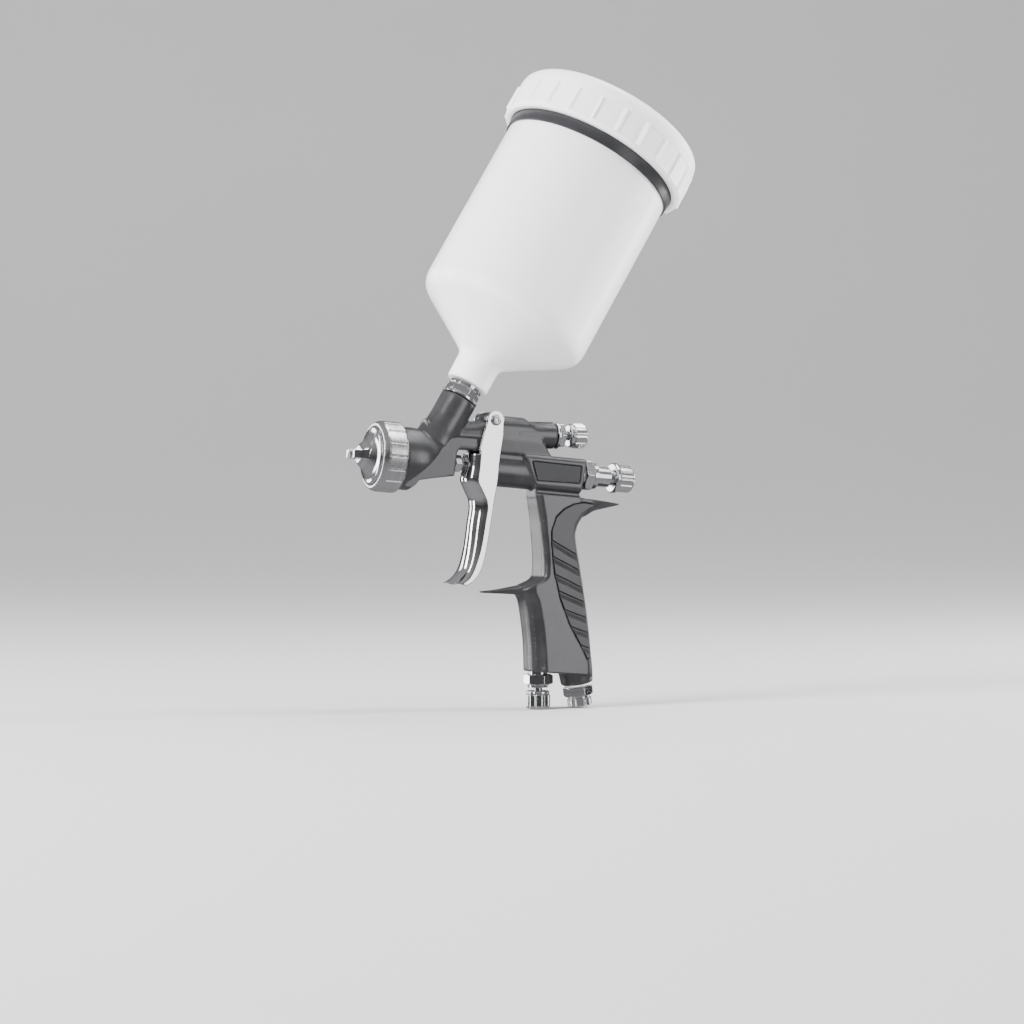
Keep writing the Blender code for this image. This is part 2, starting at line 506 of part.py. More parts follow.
# -------------------------------------------------------------------------- cup
lathe("cup_washer", [(37.8, 5.6), (37.8, 9.9), (39.2, 9.9), (39.2, 5.6)], 20, CUP_0, CUP_A, CHROME)
lathe("cup_adapter", [(30.0, 3.6), (30.0, 5.2), (39.5, 5.2), (39.5, 8.1, "hex"), (43.6, 8.1, "hex"), (43.8, 8.8),
                      (46.0, 8.8), (46.0, 7.4), (56, 7.4), (56, 3.6)], 12, CUP_0, CUP_A, CHROME)
lathe("cup_body", [
    (46.3, 7.8), (46.3, 10.7), (47.0, 11.4), (59.6, 11.6), (61.8, 12.6), (63.8, 15.0), (82.0, 41.9),
    (84.8, 45.2), (89.3, CUP_R), (CUP_TOP, CUP_R), (CUP_TOP, 44.6), (90.2, 44.6), (86.6, 43.1),
    (83.6, 40.4), (65.8, 13.6), (62.8, 9.6), (59.4, 7.8)], 32, CUP_0, CUP_A, CUP_PP)
lathe("cup_band", [(182, CUP_R + 0.3), (182, 47.9), (188.2, 47.9), (188.2, CUP_R + 0.3)], 32,
      CUP_0, CUP_A, RUBBER)
lathe("cup_filter", [(79, 0), (79, 1.6), (78, 2.6), (57.4, 4.0), (57.4, 7.3), (56.4, 7.3), (56.4, 3.2), (77.4, 1.9),
                     (78.2, 0)], 12, CUP_0, CUP_A, PTFE)
lid = lathe("cup_lid", [
    (186.2, 48.4), (186.2, 49.8), (190.0, 53.4), (205.5, 53.4), (210.2, 52.2), (212.8, 49.6),
    (214.2, 45.5), (214.2, 2.5), (211.6, 2.5), (211.6, 47.0), (208.6, 48.4)], 32, CUP_0, CUP_A, LID_PP)
lathe("lid_seal", [(209.0, 42.5), (209.0, 46.6), (211.2, 46.6), (211.2, 42.5)], 32, CUP_0, CUP_A, PTFE)
lathe("lid_vent_plug", [(207, 0), (207, 1.6), (208, 2.1), (214.6, 2.1), (214.6, 4.6), (216.2, 4.2), (216.8, 2.6),
                        (216.8, 0)], 12, CUP_0, CUP_A, RUBBER)
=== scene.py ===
"""Looks of the gravity-feed spray gun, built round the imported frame.

Visible nodes are replaced by finer pieces with the same size and place; inner
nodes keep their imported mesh. Lengths are millimetres in the gun frame until a
mesh is finished, and TO_ROW takes them into the row frame in metres.
"""

import json
import math

import bmesh
import bpy
from mathutils import Matrix, Vector


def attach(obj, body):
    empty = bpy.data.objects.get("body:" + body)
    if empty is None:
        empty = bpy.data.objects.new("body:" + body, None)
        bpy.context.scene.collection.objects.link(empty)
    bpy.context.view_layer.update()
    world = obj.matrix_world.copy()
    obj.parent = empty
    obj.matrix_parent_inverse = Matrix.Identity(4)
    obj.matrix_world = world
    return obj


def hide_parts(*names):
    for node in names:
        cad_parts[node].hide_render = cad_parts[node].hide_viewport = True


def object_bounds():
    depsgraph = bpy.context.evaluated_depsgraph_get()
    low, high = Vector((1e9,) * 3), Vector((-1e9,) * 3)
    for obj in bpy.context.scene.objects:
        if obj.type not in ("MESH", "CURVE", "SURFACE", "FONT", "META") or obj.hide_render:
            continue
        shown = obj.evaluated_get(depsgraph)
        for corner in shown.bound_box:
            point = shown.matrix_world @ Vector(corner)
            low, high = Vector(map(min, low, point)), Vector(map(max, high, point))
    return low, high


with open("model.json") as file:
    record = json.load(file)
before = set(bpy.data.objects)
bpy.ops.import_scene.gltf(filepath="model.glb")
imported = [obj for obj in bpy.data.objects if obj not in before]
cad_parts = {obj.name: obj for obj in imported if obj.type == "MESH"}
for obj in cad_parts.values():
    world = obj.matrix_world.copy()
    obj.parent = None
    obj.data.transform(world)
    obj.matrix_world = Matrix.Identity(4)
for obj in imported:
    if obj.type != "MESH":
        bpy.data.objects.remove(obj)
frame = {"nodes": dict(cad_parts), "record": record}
cad_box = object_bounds()
nodes = frame["nodes"]

PITCH = math.radians(4.46)
TO_ROW = Matrix.Rotation(PITCH, 4, "Y") @ Matrix.Translation((-0.048, 0, 0.060)) @ Matrix.Scale(0.001, 4)

PIVOT_Z = 24.1
TRIGGER_W = 9.0
PLATE_T = 1.5
BARREL_W = 7.2
CUP_R = 46.8
CUP_TOP = 208.6
HEAD_R = 16.1
RING_R = 18.5
THREAD_R = 6.58
CUP_TILT = math.radians(26.3)
FAN_TILT = math.radians(4.1)
INLET_TILT = math.radians(13.1)
X = (1, 0, 0)
ORIGIN = (0, 0, 0)
CUP_A = (math.sin(CUP_TILT), 0, math.cos(CUP_TILT))
CUP_0 = (-34.8, 0, 0)
FAN_A = (math.cos(FAN_TILT), 0, math.sin(FAN_TILT))
FAN_0 = (33.1, 0, 19.3)
REG_A = (math.sin(PITCH), 0, -math.cos(PITCH))
REG_0 = (38.9, 0, -107.3)
IN_A = (math.sin(INLET_TILT), 0, -math.cos(INLET_TILT))
IN_0 = (61.3, 0, -107.0)


# ------------------------------------------------------------- material helpers
class Graph:
    """A small writer of node trees."""

    def __init__(self, name):
        self.mat = bpy.data.materials.new(name)
        self.mat.use_nodes = True
        self.tree = self.mat.node_tree
        self.shader = self.tree.nodes["Principled BSDF"]
        self.coord = self.tree.nodes.new("ShaderNodeTexCoord").outputs["Object"]

    def put(self, socket, value):
        if isinstance(value, bpy.types.NodeSocket):
            self.tree.links.new(value, socket)
        else:
            socket.default_value = value

    def noise(self, scale, detail=2.0, rough=0.5, vector=None, distort=0.0):
        n = self.tree.nodes.new("ShaderNodeTexNoise")
        n.inputs["Scale"].default_value = scale
        n.inputs["Detail"].default_value = detail
        n.inputs["Roughness"].default_value = rough
        n.inputs["Distortion"].default_value = distort
        self.put(n.inputs["Vector"], vector or self.coord)
        return n.outputs["Fac"]

    def squeeze(self, axis, along, across):
        """Object coordinates turned so that Z is the axis, then scaled."""
        m = self.tree.nodes.new("ShaderNodeMapping")
        m.vector_type = "POINT"
        quat = Vector(axis).normalized().rotation_difference(Vector((0, 0, 1)))
        m.inputs["Rotation"].default_value = quat.to_euler("XYZ")
        self.put(m.inputs["Vector"], self.coord)
        s = self.tree.nodes.new("ShaderNodeMapping")
        s.vector_type = "POINT"
        s.inputs["Scale"].default_value = (across, across, along)
        self.put(s.inputs["Vector"], m.outputs["Vector"])
        return s.outputs["Vector"]

    def ramp(self, fac, stops):
        r = self.tree.nodes.new("ShaderNodeValToRGB")
        while len(r.color_ramp.elements) < len(stops):
            r.color_ramp.elements.new(0.5)
        for element, (at, colour) in zip(r.color_ramp.elements, stops):
            element.position = at
            element.color = (*colour, 1) if len(colour) == 3 else colour
        self.put(r.inputs["Fac"], fac)
        return r.outputs["Color"]

    def span(self, fac, low, high, a=0.0, b=1.0):
        r = self.tree.nodes.new("ShaderNodeMapRange")
        r.inputs["From Min"].default_value = a
        r.inputs["From Max"].default_value = b
        r.inputs["To Min"].default_value = low
        r.inputs["To Max"].default_value = high
        self.put(r.inputs["Value"], fac)
        return r.outputs["Result"]

    def math(self, op, a, b=0.0):
        m = self.tree.nodes.new("ShaderNodeMath")
        m.operation = op
        self.put(m.inputs[0], a)
        self.put(m.inputs[1], b)
        return m.outputs[0]

    def mix(self, fac, a, b, mode="MIX"):
        m = self.tree.nodes.new("ShaderNodeMix")
        m.data_type = "RGBA"
        m.blend_type = mode
        self.put(m.inputs["Factor"], fac)
        for socket, value in ((m.inputs[6], a), (m.inputs[7], b)):
            if isinstance(value, tuple) and len(value) == 3:
                value = (*value, 1)
            self.put(socket, value)
        return m.outputs[2]

    def edge(self):
        return self.tree.nodes.new("ShaderNodeNewGeometry").outputs["Pointiness"]

    def bump(self, height, distance, strength=1.0, after=None):
        b = self.tree.nodes.new("ShaderNodeBump")
        b.inputs["Distance"].default_value = distance
        b.inputs["Strength"].default_value = strength
        self.put(b.inputs["Height"], height)
        if after is not None:
            self.put(b.inputs["Normal"], after)
        return b.outputs["Normal"]

    def done(self, **values):
        for key, value in values.items():
            self.put(self.shader.inputs[key.replace("_", " ")], value)
        return self.mat


def shade(colour, k):
    return tuple(min(1.0, c * k) for c in colour)


def anodised(name, colour, rough, grain=0.000006, metal=0.9):
    """Fine-blasted, dark anodised forging: cloudy tone, micro grain, worn edges."""
    g = Graph(name)
    cloud = g.noise(90, 4, 0.6)
    fine = g.noise(2600, 2, 0.6)
    specks = g.noise(700, 3, 0.65)
    tone = g.ramp(cloud, [(0.3, shade(colour, 0.88)), (0.7, shade(colour, 1.12))])
    tone = g.mix(g.span(specks, 0, 0.35, 0.62, 0.75), tone, shade(colour, 1.5))
    worn = g.span(g.edge(), 0, 0.55, 0.56, 0.66)
    tone = g.mix(worn, tone, shade(colour, 2.6))
    r = g.math("ADD", g.span(cloud, rough - 0.04, rough + 0.05, 0.3, 0.7), g.span(fine, -0.03, 0.03))
    n = g.bump(fine, grain, 0.6)
    n = g.bump(g.noise(260, 3, 0.5), 0.00002, 0.25, n)
    return g.done(Base_Color=tone, Metallic=metal, Roughness=r, Normal=n)


def polished(name, colour, rough=0.07):
    """Polished and plated: faint swirl marks, slight haze, soft waviness."""
    g = Graph(name)
    haze = g.noise(140, 4, 0.6)
    swirl = g.noise(900, 3, 0.6, g.squeeze((0.35, 0.2, 1), 0.12, 1.0), 0.4)
    tone = g.ramp(haze, [(0.25, shade(colour, 0.94)), (0.75, colour)])
    r = g.math("ADD", g.span(haze, rough - 0.02, rough + 0.05, 0.3, 0.8), g.span(swirl, 0, 0.04, 0.45, 0.8))
    n = g.bump(g.noise(70, 2, 0.4), 0.00003, 0.12)
    n = g.bump(swirl, 0.000003, 0.25, n)
    return g.done(Base_Color=tone, Metallic=1.0, Roughness=r, Normal=n)


def machined(name, colour, axis, rough=0.16, depth=0.000006, metal=1.0):
    """Turned metal: fine rings across its axis, cloudy roughness."""
    g = Graph(name)
    rings = g.noise(1.0, 3, 0.6, g.squeeze(axis, 5200, 12))
    wide = g.noise(1.0, 2, 0.5, g.squeeze(axis, 900, 6))
    haze = g.noise(180, 4, 0.6)
    tone = g.ramp(wide, [(0.3, shade(colour, 0.9)), (0.7, shade(colour, 1.04))])
    r = g.math("ADD", g.span(rings, rough - 0.05, rough + 0.06, 0.3, 0.7), g.span(haze, -0.03, 0.05, 0.3, 0.8))
    n = g.bump(rings, depth, 0.5)
    return g.done(Base_Color=tone, Metallic=metal, Roughness=r, Normal=n)


def plastic(name, colour, rough, grain, through=0.0, scatter=0.0, coat=0.0):
    """Moulded polypropylene: cloudy wall, fine texture, a few flow marks."""
    g = Graph(name)
    cloud = g.noise(35, 4, 0.55)
    flow = g.noise(1.0, 3, 0.5, g.squeeze((math.sin(CUP_TILT + PITCH), 0, math.cos(CUP_TILT + PITCH)), 40, 160))
    fine = g.noise(1900, 2, 0.5)
    tone = g.ramp(cloud, [(0.25, shade(colour, 0.965)), (0.75, shade(colour, 1.01))])
    tone = g.mix(g.span(flow, 0, 0.12, 0.5, 0.8), tone, shade(colour, 0.93))
    r = g.math("ADD", g.span(cloud, rough - 0.03, rough + 0.05, 0.3, 0.75), g.span(fine, -0.02, 0.02))
    n = g.bump(fine, grain, 0.5)
    n = g.bump(flow, 0.00003, 0.2, n)
    values = dict(Base_Color=tone, Metallic=0.0, Roughness=r, Normal=n)
    g.done(**values)
    g.shader.inputs["Transmission Weight"].default_value = through
    g.shader.inputs["Subsurface Weight"].default_value = scatter
    g.shader.inputs["Subsurface Radius"].default_value = (0.012, 0.011, 0.010)
    g.shader.inputs["Subsurface Scale"].default_value = 0.6
    g.shader.inputs["Coat Weight"].default_value = coat
    g.shader.inputs["Coat Roughness"].default_value = 0.2
    g.shader.inputs["IOR"].default_value = 1.49
    return g.mat


def rubbery(name, colour, rough):
    g = Graph(name)
    cloud = g.noise(120, 4, 0.6)
    fine = g.noise(2200, 3, 0.6)
    tone = g.ramp(cloud, [(0.25, shade(colour, 0.8)), (0.75, shade(colour, 1.25))])
    r = g.span(fine, rough - 0.08, rough + 0.08, 0.25, 0.75)
    n = g.bump(fine, 0.00001, 0.5)
    return g.done(Base_Color=tone, Metallic=0.0, Roughness=r, Normal=n)


def row_axis(axis):
    return tuple((TO_ROW.to_3x3() @ Vector(axis)).normalized())


E1, EC, EF, EI, ER = (row_axis(a) for a in (X, CUP_A, FAN_A, IN_A, REG_A))

GUNMETAL = anodised("gunmetal_anodised", (0.135, 0.135, 0.139), 0.34)
INLAY = anodised("grip_inlay_anodised", (0.108, 0.108, 0.112), 0.38, 0.000008)
PLATE = anodised("side_plate_satin", (0.062, 0.062, 0.065), 0.34, 0.000004)
CHROME = polished("polished_chrome", (0.80, 0.80, 0.81), 0.06)
CHROME_X = machined("turned_chrome_needle_axis", (0.74, 0.74, 0.75), E1, 0.16)
CHROME_CUP = machined("turned_chrome_cup_axis", (0.74, 0.74, 0.75), EC, 0.14)
CHROME_FAN = machined("turned_chrome_fan_axis", (0.76, 0.76, 0.77), EF, 0.13)
CHROME_IN = machined("turned_chrome_inlet_axis", (0.76, 0.76, 0.77), EI, 0.12)
CHROME_REG = machined("turned_chrome_regulator_axis", (0.76, 0.76, 0.77), ER, 0.12)
SATIN_X = machined("satin_silver_ring", (0.66, 0.66, 0.665), E1, 0.24, 0.000008)
CAP_METAL = machined("polished_air_cap", (0.74, 0.74, 0.75), E1, 0.15, 0.000004)
STEEL = machined("stainless_steel", (0.55, 0.55, 0.555), E1, 0.2)
BRASS = machined("turned_brass", (0.62, 0.46, 0.2), E1, 0.24)
CUP_PP = plastic("white_polypropylene", (0.90, 0.90, 0.895), 0.24, 0.000004, 0.0, 0.35, 0.10)
LID_PP = plastic("milky_polypropylene", (0.90, 0.90, 0.905), 0.32, 0.000006, 0.0, 0.40, 0.05)
RUBBER = rubbery("dark_rubber", (0.055, 0.056, 0.06), 0.5)
BAND = rubbery("dark_band", (0.022, 0.022, 0.024), 0.33)
PTFE = plastic("ptfe", (0.8, 0.8, 0.78), 0.45, 0.000006)

SLOT_MATERIAL = {
    "gunmetal": GUNMETAL, "inlay": INLAY, "plate": PLATE, "chrome": CHROME_X, "steel": STEEL,
    "brass": BRASS, "cup_plastic": CUP_PP, "lid_plastic": LID_PP, "rubber": RUBBER, "ptfe": PTFE}
slot_of = {s["node"]: s["material_slot"] for s in frame["record"]["subparts"]}
body_of_node = {n: b for b, members in frame["record"]["behaviour"]["bodies"].items() for n in members}
for node_name, obj in nodes.items():
    obj.data.materials.clear()
    obj.data.materials.append(SLOT_MATERIAL[slot_of[node_name]])
    for poly in obj.data.polygons:
        poly.material_index = 0


# ------------------------------------------------------------------ mesh helpers
def raw_object(name, bm):
    bmesh.ops.recalc_face_normals(bm, faces=bm.faces[:])
    mesh = bpy.data.meshes.new(name)
    bm.to_mesh(mesh)
    bm.free()
    obj = bpy.data.objects.new(name, mesh)
    bpy.context.scene.collection.objects.link(obj)
    return obj


def finish_piece(obj, node, mat, replaced=None):
    """Takes a gun-frame mesh in mm into the row frame and puts it on its body."""
    obj.data.transform(TO_ROW)
    obj.data.materials.clear()
    obj.data.materials.append(mat)
    obj.data.update()
    body = body_of_node[node]
    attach(obj, body)
    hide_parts(*(replaced or [node]))
    return obj


def baked(obj):
    """Applies the modifiers of obj and returns it with its new mesh."""
    graph = bpy.context.evaluated_depsgraph_get()
    mesh = bpy.data.meshes.new_from_object(obj.evaluated_get(graph))
    obj.modifiers.clear()
    old = obj.data
    obj.data = mesh
    bpy.data.meshes.remove(old)
    return obj


def weighted(obj, sharp=40):
    """Flat faces shade flat, and rounded edges shade smooth."""
    obj.data.shade_smooth()
    obj.data.set_sharp_from_angle(angle=math.radians(sharp))
    mod = obj.modifiers.new("weighted", "WEIGHTED_NORMAL")
    mod.keep_sharp = True
    mod.weight = 60
    return obj


def loft(rings, loop=False):
    bm = bmesh.new()
    made = [[bm.verts.new(p) for p in ring] for ring in rings]
    pairs = list(zip(made, made[1:]))
    if loop:
        pairs.append((made[-1], made[0]))
    for one, two in pairs:
        count = max(len(one), len(two))
        for i in range(count):
            j = (i + 1) % count
            if len(one) == 1:
                bm.faces.new((one[0], two[j], two[i]))
            elif len(two) == 1:
                bm.faces.new((one[i], one[j], two[0]))
            else:
                bm.faces.new((one[i], one[j], two[j], two[i]))
    if not loop:
        for ring in (made[0], made[-1]):
            if len(ring) > 2:
                bm.faces.new(ring)
    return bm


def factor(kind, angle):
    """Radius factor of a cross-section at an angle.
    ("hex", cap): hexagon by its flats, its corners capped by a circle.
    ("rib", count, depth, width): soft grooves between pads.
    ("pad", count, depth, width, flat): nearly flat pads between soft grooves."""
    if kind == "round":
        return 1.0
    if kind[0] == "hex":
        sector = math.radians(60)
        return min(1 / math.cos((angle % sector) - sector / 2), kind[1])
    count, depth, width = kind[1:4]
    sector = 2 * math.pi / count
    local = (angle % sector) - sector / 2          # 0 in the middle of a pad
    near = abs(abs(local) - sector / 2) / (sector * width)   # 0 at the groove's middle
    groove = max(0.0, 1 - near) ** 2 * (3 - 2 * max(0.0, 1 - near))
    result = 1 - depth * groove
    if kind[0] == "pad":
        flat = math.cos(sector / 2) / math.cos(local)
        result *= 1 + (flat - 1) * kind[4]
    return result


def softened(profile, radius, steps=4, closed=True):
    """Rounds the corners of an (along, radius, kind, own fillet) profile."""
    points = []
    count = len(profile)
    for i, point in enumerate(profile):
        along, r = point[0], point[1]
        kind = point[2] if len(point) > 2 and point[2] else "round"
        fillet = point[3] if len(point) > 3 else radius
        before, after = profile[(i - 1) % count], profile[(i + 1) % count]
        if r == 0 or fillet == 0 or (not closed and i in (0, count - 1)):
            points.append((along, r, kind))
            continue
        here = Vector((along, r))
        a, b = Vector(before[:2]) - here, Vector(after[:2]) - here
        if a.length < 1e-6 or b.length < 1e-6:
            points.append((along, r, kind))
            continue
        turn = a.angle(b)
        if turn > math.radians(172):
            points.append((along, r, kind))
            continue
        d = min(fillet, 0.42 * a.length, 0.42 * b.length)
        p0, p2 = here + a.normalized() * d, here + b.normalized() * d
        for k in range(steps + 1):
            t = k / steps
            q = p0 * (1 - t) ** 2 + here * 2 * t * (1 - t) + p2 * t * t
            points.append((q.x, q.y, kind))
    return points


def hexnut(start, end, apothem, chamfer=0.7):
    """Stations of a hexagon with both corners turned down."""
    caps = (1.0, 1.04, 1.085, 1.13, 1.1548)
    out = [(start + chamfer * k / 4, apothem, ("hex", c), 0) for k, c in enumerate(caps)]
    out += [(end - chamfer * (4 - k) / 4, apothem, ("hex", c), 0) for k, c in enumerate(reversed(caps))]
    return out


def turned(profile, n, base, axis, side=(0, 1, 0)):
    a = Vector(axis).normalized()
    u = Vector(side).normalized()
    v = a.cross(u)
    centre = Vector(base)
    rings = []
    for along, radius, kind in profile:
        if radius == 0:
            rings.append([centre + a * along])
            continue
        ring = []
        for i in range(n):
            angle = 2 * math.pi * i / n
            r = radius * factor(kind, angle)
            ring.append(centre + a * along + u * r * math.cos(angle) + v * r * math.sin(angle))
        rings.append(ring)
    solid = profile[0][1] == 0 and profile[-1][1] == 0
    return loft(rings, loop=not solid)


def lathe(node, profile, n, base, axis, mat, fillet=0.25, steps=4, side=(0, 1, 0), sharp=48, replaced=None):
    closed = not (profile[0][1] == 0 and profile[-1][1] == 0)
    obj = raw_object(node + "_fine", turned(softened(profile, fillet, steps, closed), n, base, axis, side))
    finish_piece(obj, node, mat, replaced)
    return weighted(obj, sharp)


def prism(outline, y0, y1):
    def at(y, x, z):
        return y(x, z) if callable(y) else y
    return loft([[(x, at(y0, x, z), z) for x, z in outline],
                 [(x, at(y1, x, z), z) for x, z in outline]])


def combine(target, bm, operation):
    tool = raw_object("tool", bm)
    mod = target.modifiers.new("b", "BOOLEAN")
    mod.operation = operation
    mod.object = tool
    mod.solver = "EXACT"
    return tool


def forged(node, target, tools, voxel, smooth, mat, factor_=0.5, ratio=None):
    """Booleans, then a fine voxel skin whose edges flow like a forging's."""
    baked(target)
    for tool in tools:
        bpy.data.objects.remove(tool, do_unlink=True)
    mod = target.modifiers.new("skin", "REMESH")
    mod.mode = "VOXEL"
    mod.voxel_size = voxel
    mod = target.modifiers.new("soft", "SMOOTH")
    mod.factor = factor_
    mod.iterations = smooth
    if ratio:
        mod = target.modifiers.new("thin", "DECIMATE")
        mod.ratio = ratio
    baked(target)
    target.name = node + "_fine"
    finish_piece(target, node, mat)
    target.data.shade_smooth()
    return target


def skinned(node, shells, cutters, voxel, smooth, second=True):
    """Shells flow into one skin, the cutters bite it, and a second skin softens their edges."""
    bm = bmesh.new()
    for shell in shells:
        bm.from_mesh(shell.data)
        bpy.data.objects.remove(shell, do_unlink=True)
    target = raw_object(node + "_fine", bm)

    def skin(size, rounds):
        mod = target.modifiers.new("skin", "REMESH")
        mod.mode = "VOXEL"
        mod.voxel_size = size
        mod = target.modifiers.new("soft", "SMOOTH")
        mod.factor = 0.5
        mod.iterations = rounds
        baked(target)

    skin(voxel, smooth)
    if cutters:
        group = bpy.data.collections.new(node + "_cutters")
        bpy.context.scene.collection.children.link(group)
        for cutter in cutters:
            bpy.context.scene.collection.objects.unlink(cutter)
            group.objects.link(cutter)
        mod = target.modifiers.new("cuts", "BOOLEAN")
        mod.operation = "DIFFERENCE"
        mod.operand_type = "COLLECTION"
        mod.collection = group
        mod.solver = "EXACT"
        mod.use_self = True
        baked(target)
        for cutter in cutters:
            bpy.data.objects.remove(cutter, do_unlink=True)
        bpy.data.collections.remove(group)
        bm = bmesh.new()
        bm.from_mesh(target.data)
        open_edges = sum(1 for edge in bm.edges if not edge.is_manifold)
        print("skinned", node, len(bm.faces), "open edges", open_edges)
        bm.free()
        if second and open_edges == 0:
            skin(voxel * 0.86, 2)
    return target


def flowing(rows, per=5):
    """Monotone cubic steps between rings, so that a loft has no visible facets."""
    ts = [0.0]
    for one, two in zip(rows, rows[1:]):
        ts.append(ts[-1] + sum((Vector(p) - Vector(q)).length for p, q in zip(one, two)) / len(one))
    count = len(rows[0])

    def slopes(values):
        h = [b - a for a, b in zip(ts, ts[1:])]
        d = [(b - a) / k for a, b, k in zip(values, values[1:], h)]
        m = [d[0]]
        for i in range(1, len(d)):
            m.append(0.0 if d[i - 1] * d[i] <= 0 else
                     (h[i - 1] + h[i]) * 3 / ((2 * h[i] + h[i - 1]) / d[i - 1] + (h[i] + 2 * h[i - 1]) / d[i]))
        m.append(d[-1])
        return m

    tracks = [[[row[i][c] for row in rows] for c in range(3)] for i in range(count)]
    tangents = [[slopes(track) for track in point] for point in tracks]
    out = []
    for j in range(len(rows) - 1):
        h = ts[j + 1] - ts[j]
        for k in range(per):
            t = k / per
            a, b, c, d = (1 + 2 * t) * (1 - t) ** 2, t * (1 - t) ** 2, t * t * (3 - 2 * t), t * t * (t - 1)
            out.append([tuple(a * tracks[i][q][j] + b * h * tangents[i][q][j]
                              + c * tracks[i][q][j + 1] + d * h * tangents[i][q][j + 1] for q in range(3))
                        for i in range(count)])
    out.append([tuple(p) for p in rows[-1]])
    return out


def handle_w(z):
    return 9.0 + (-12.4 - z) * 0.024


# ---------------------------------------------------------------------- gun body
def barrel_ring(x, top, half, crease=14.6, low=7.5, low_half=6.4, slope=None):
    ring = [(-low_half, low), (-half, crease), (-half, crease + 0.9)]
    middle = top - half
    for k in range(21):
        angle = math.pi * k / 20
        ring.append((-(half - 0.25) * math.cos(angle), middle + 0.25 + (half - 0.25) * math.sin(angle)))
    ring += [(half, crease + 0.9), (half, crease), (low_half, low)]
    if slope:
        return [(slope(z), y, z) for y, z in ring]
    return [(x, y, z) for y, z in ring]


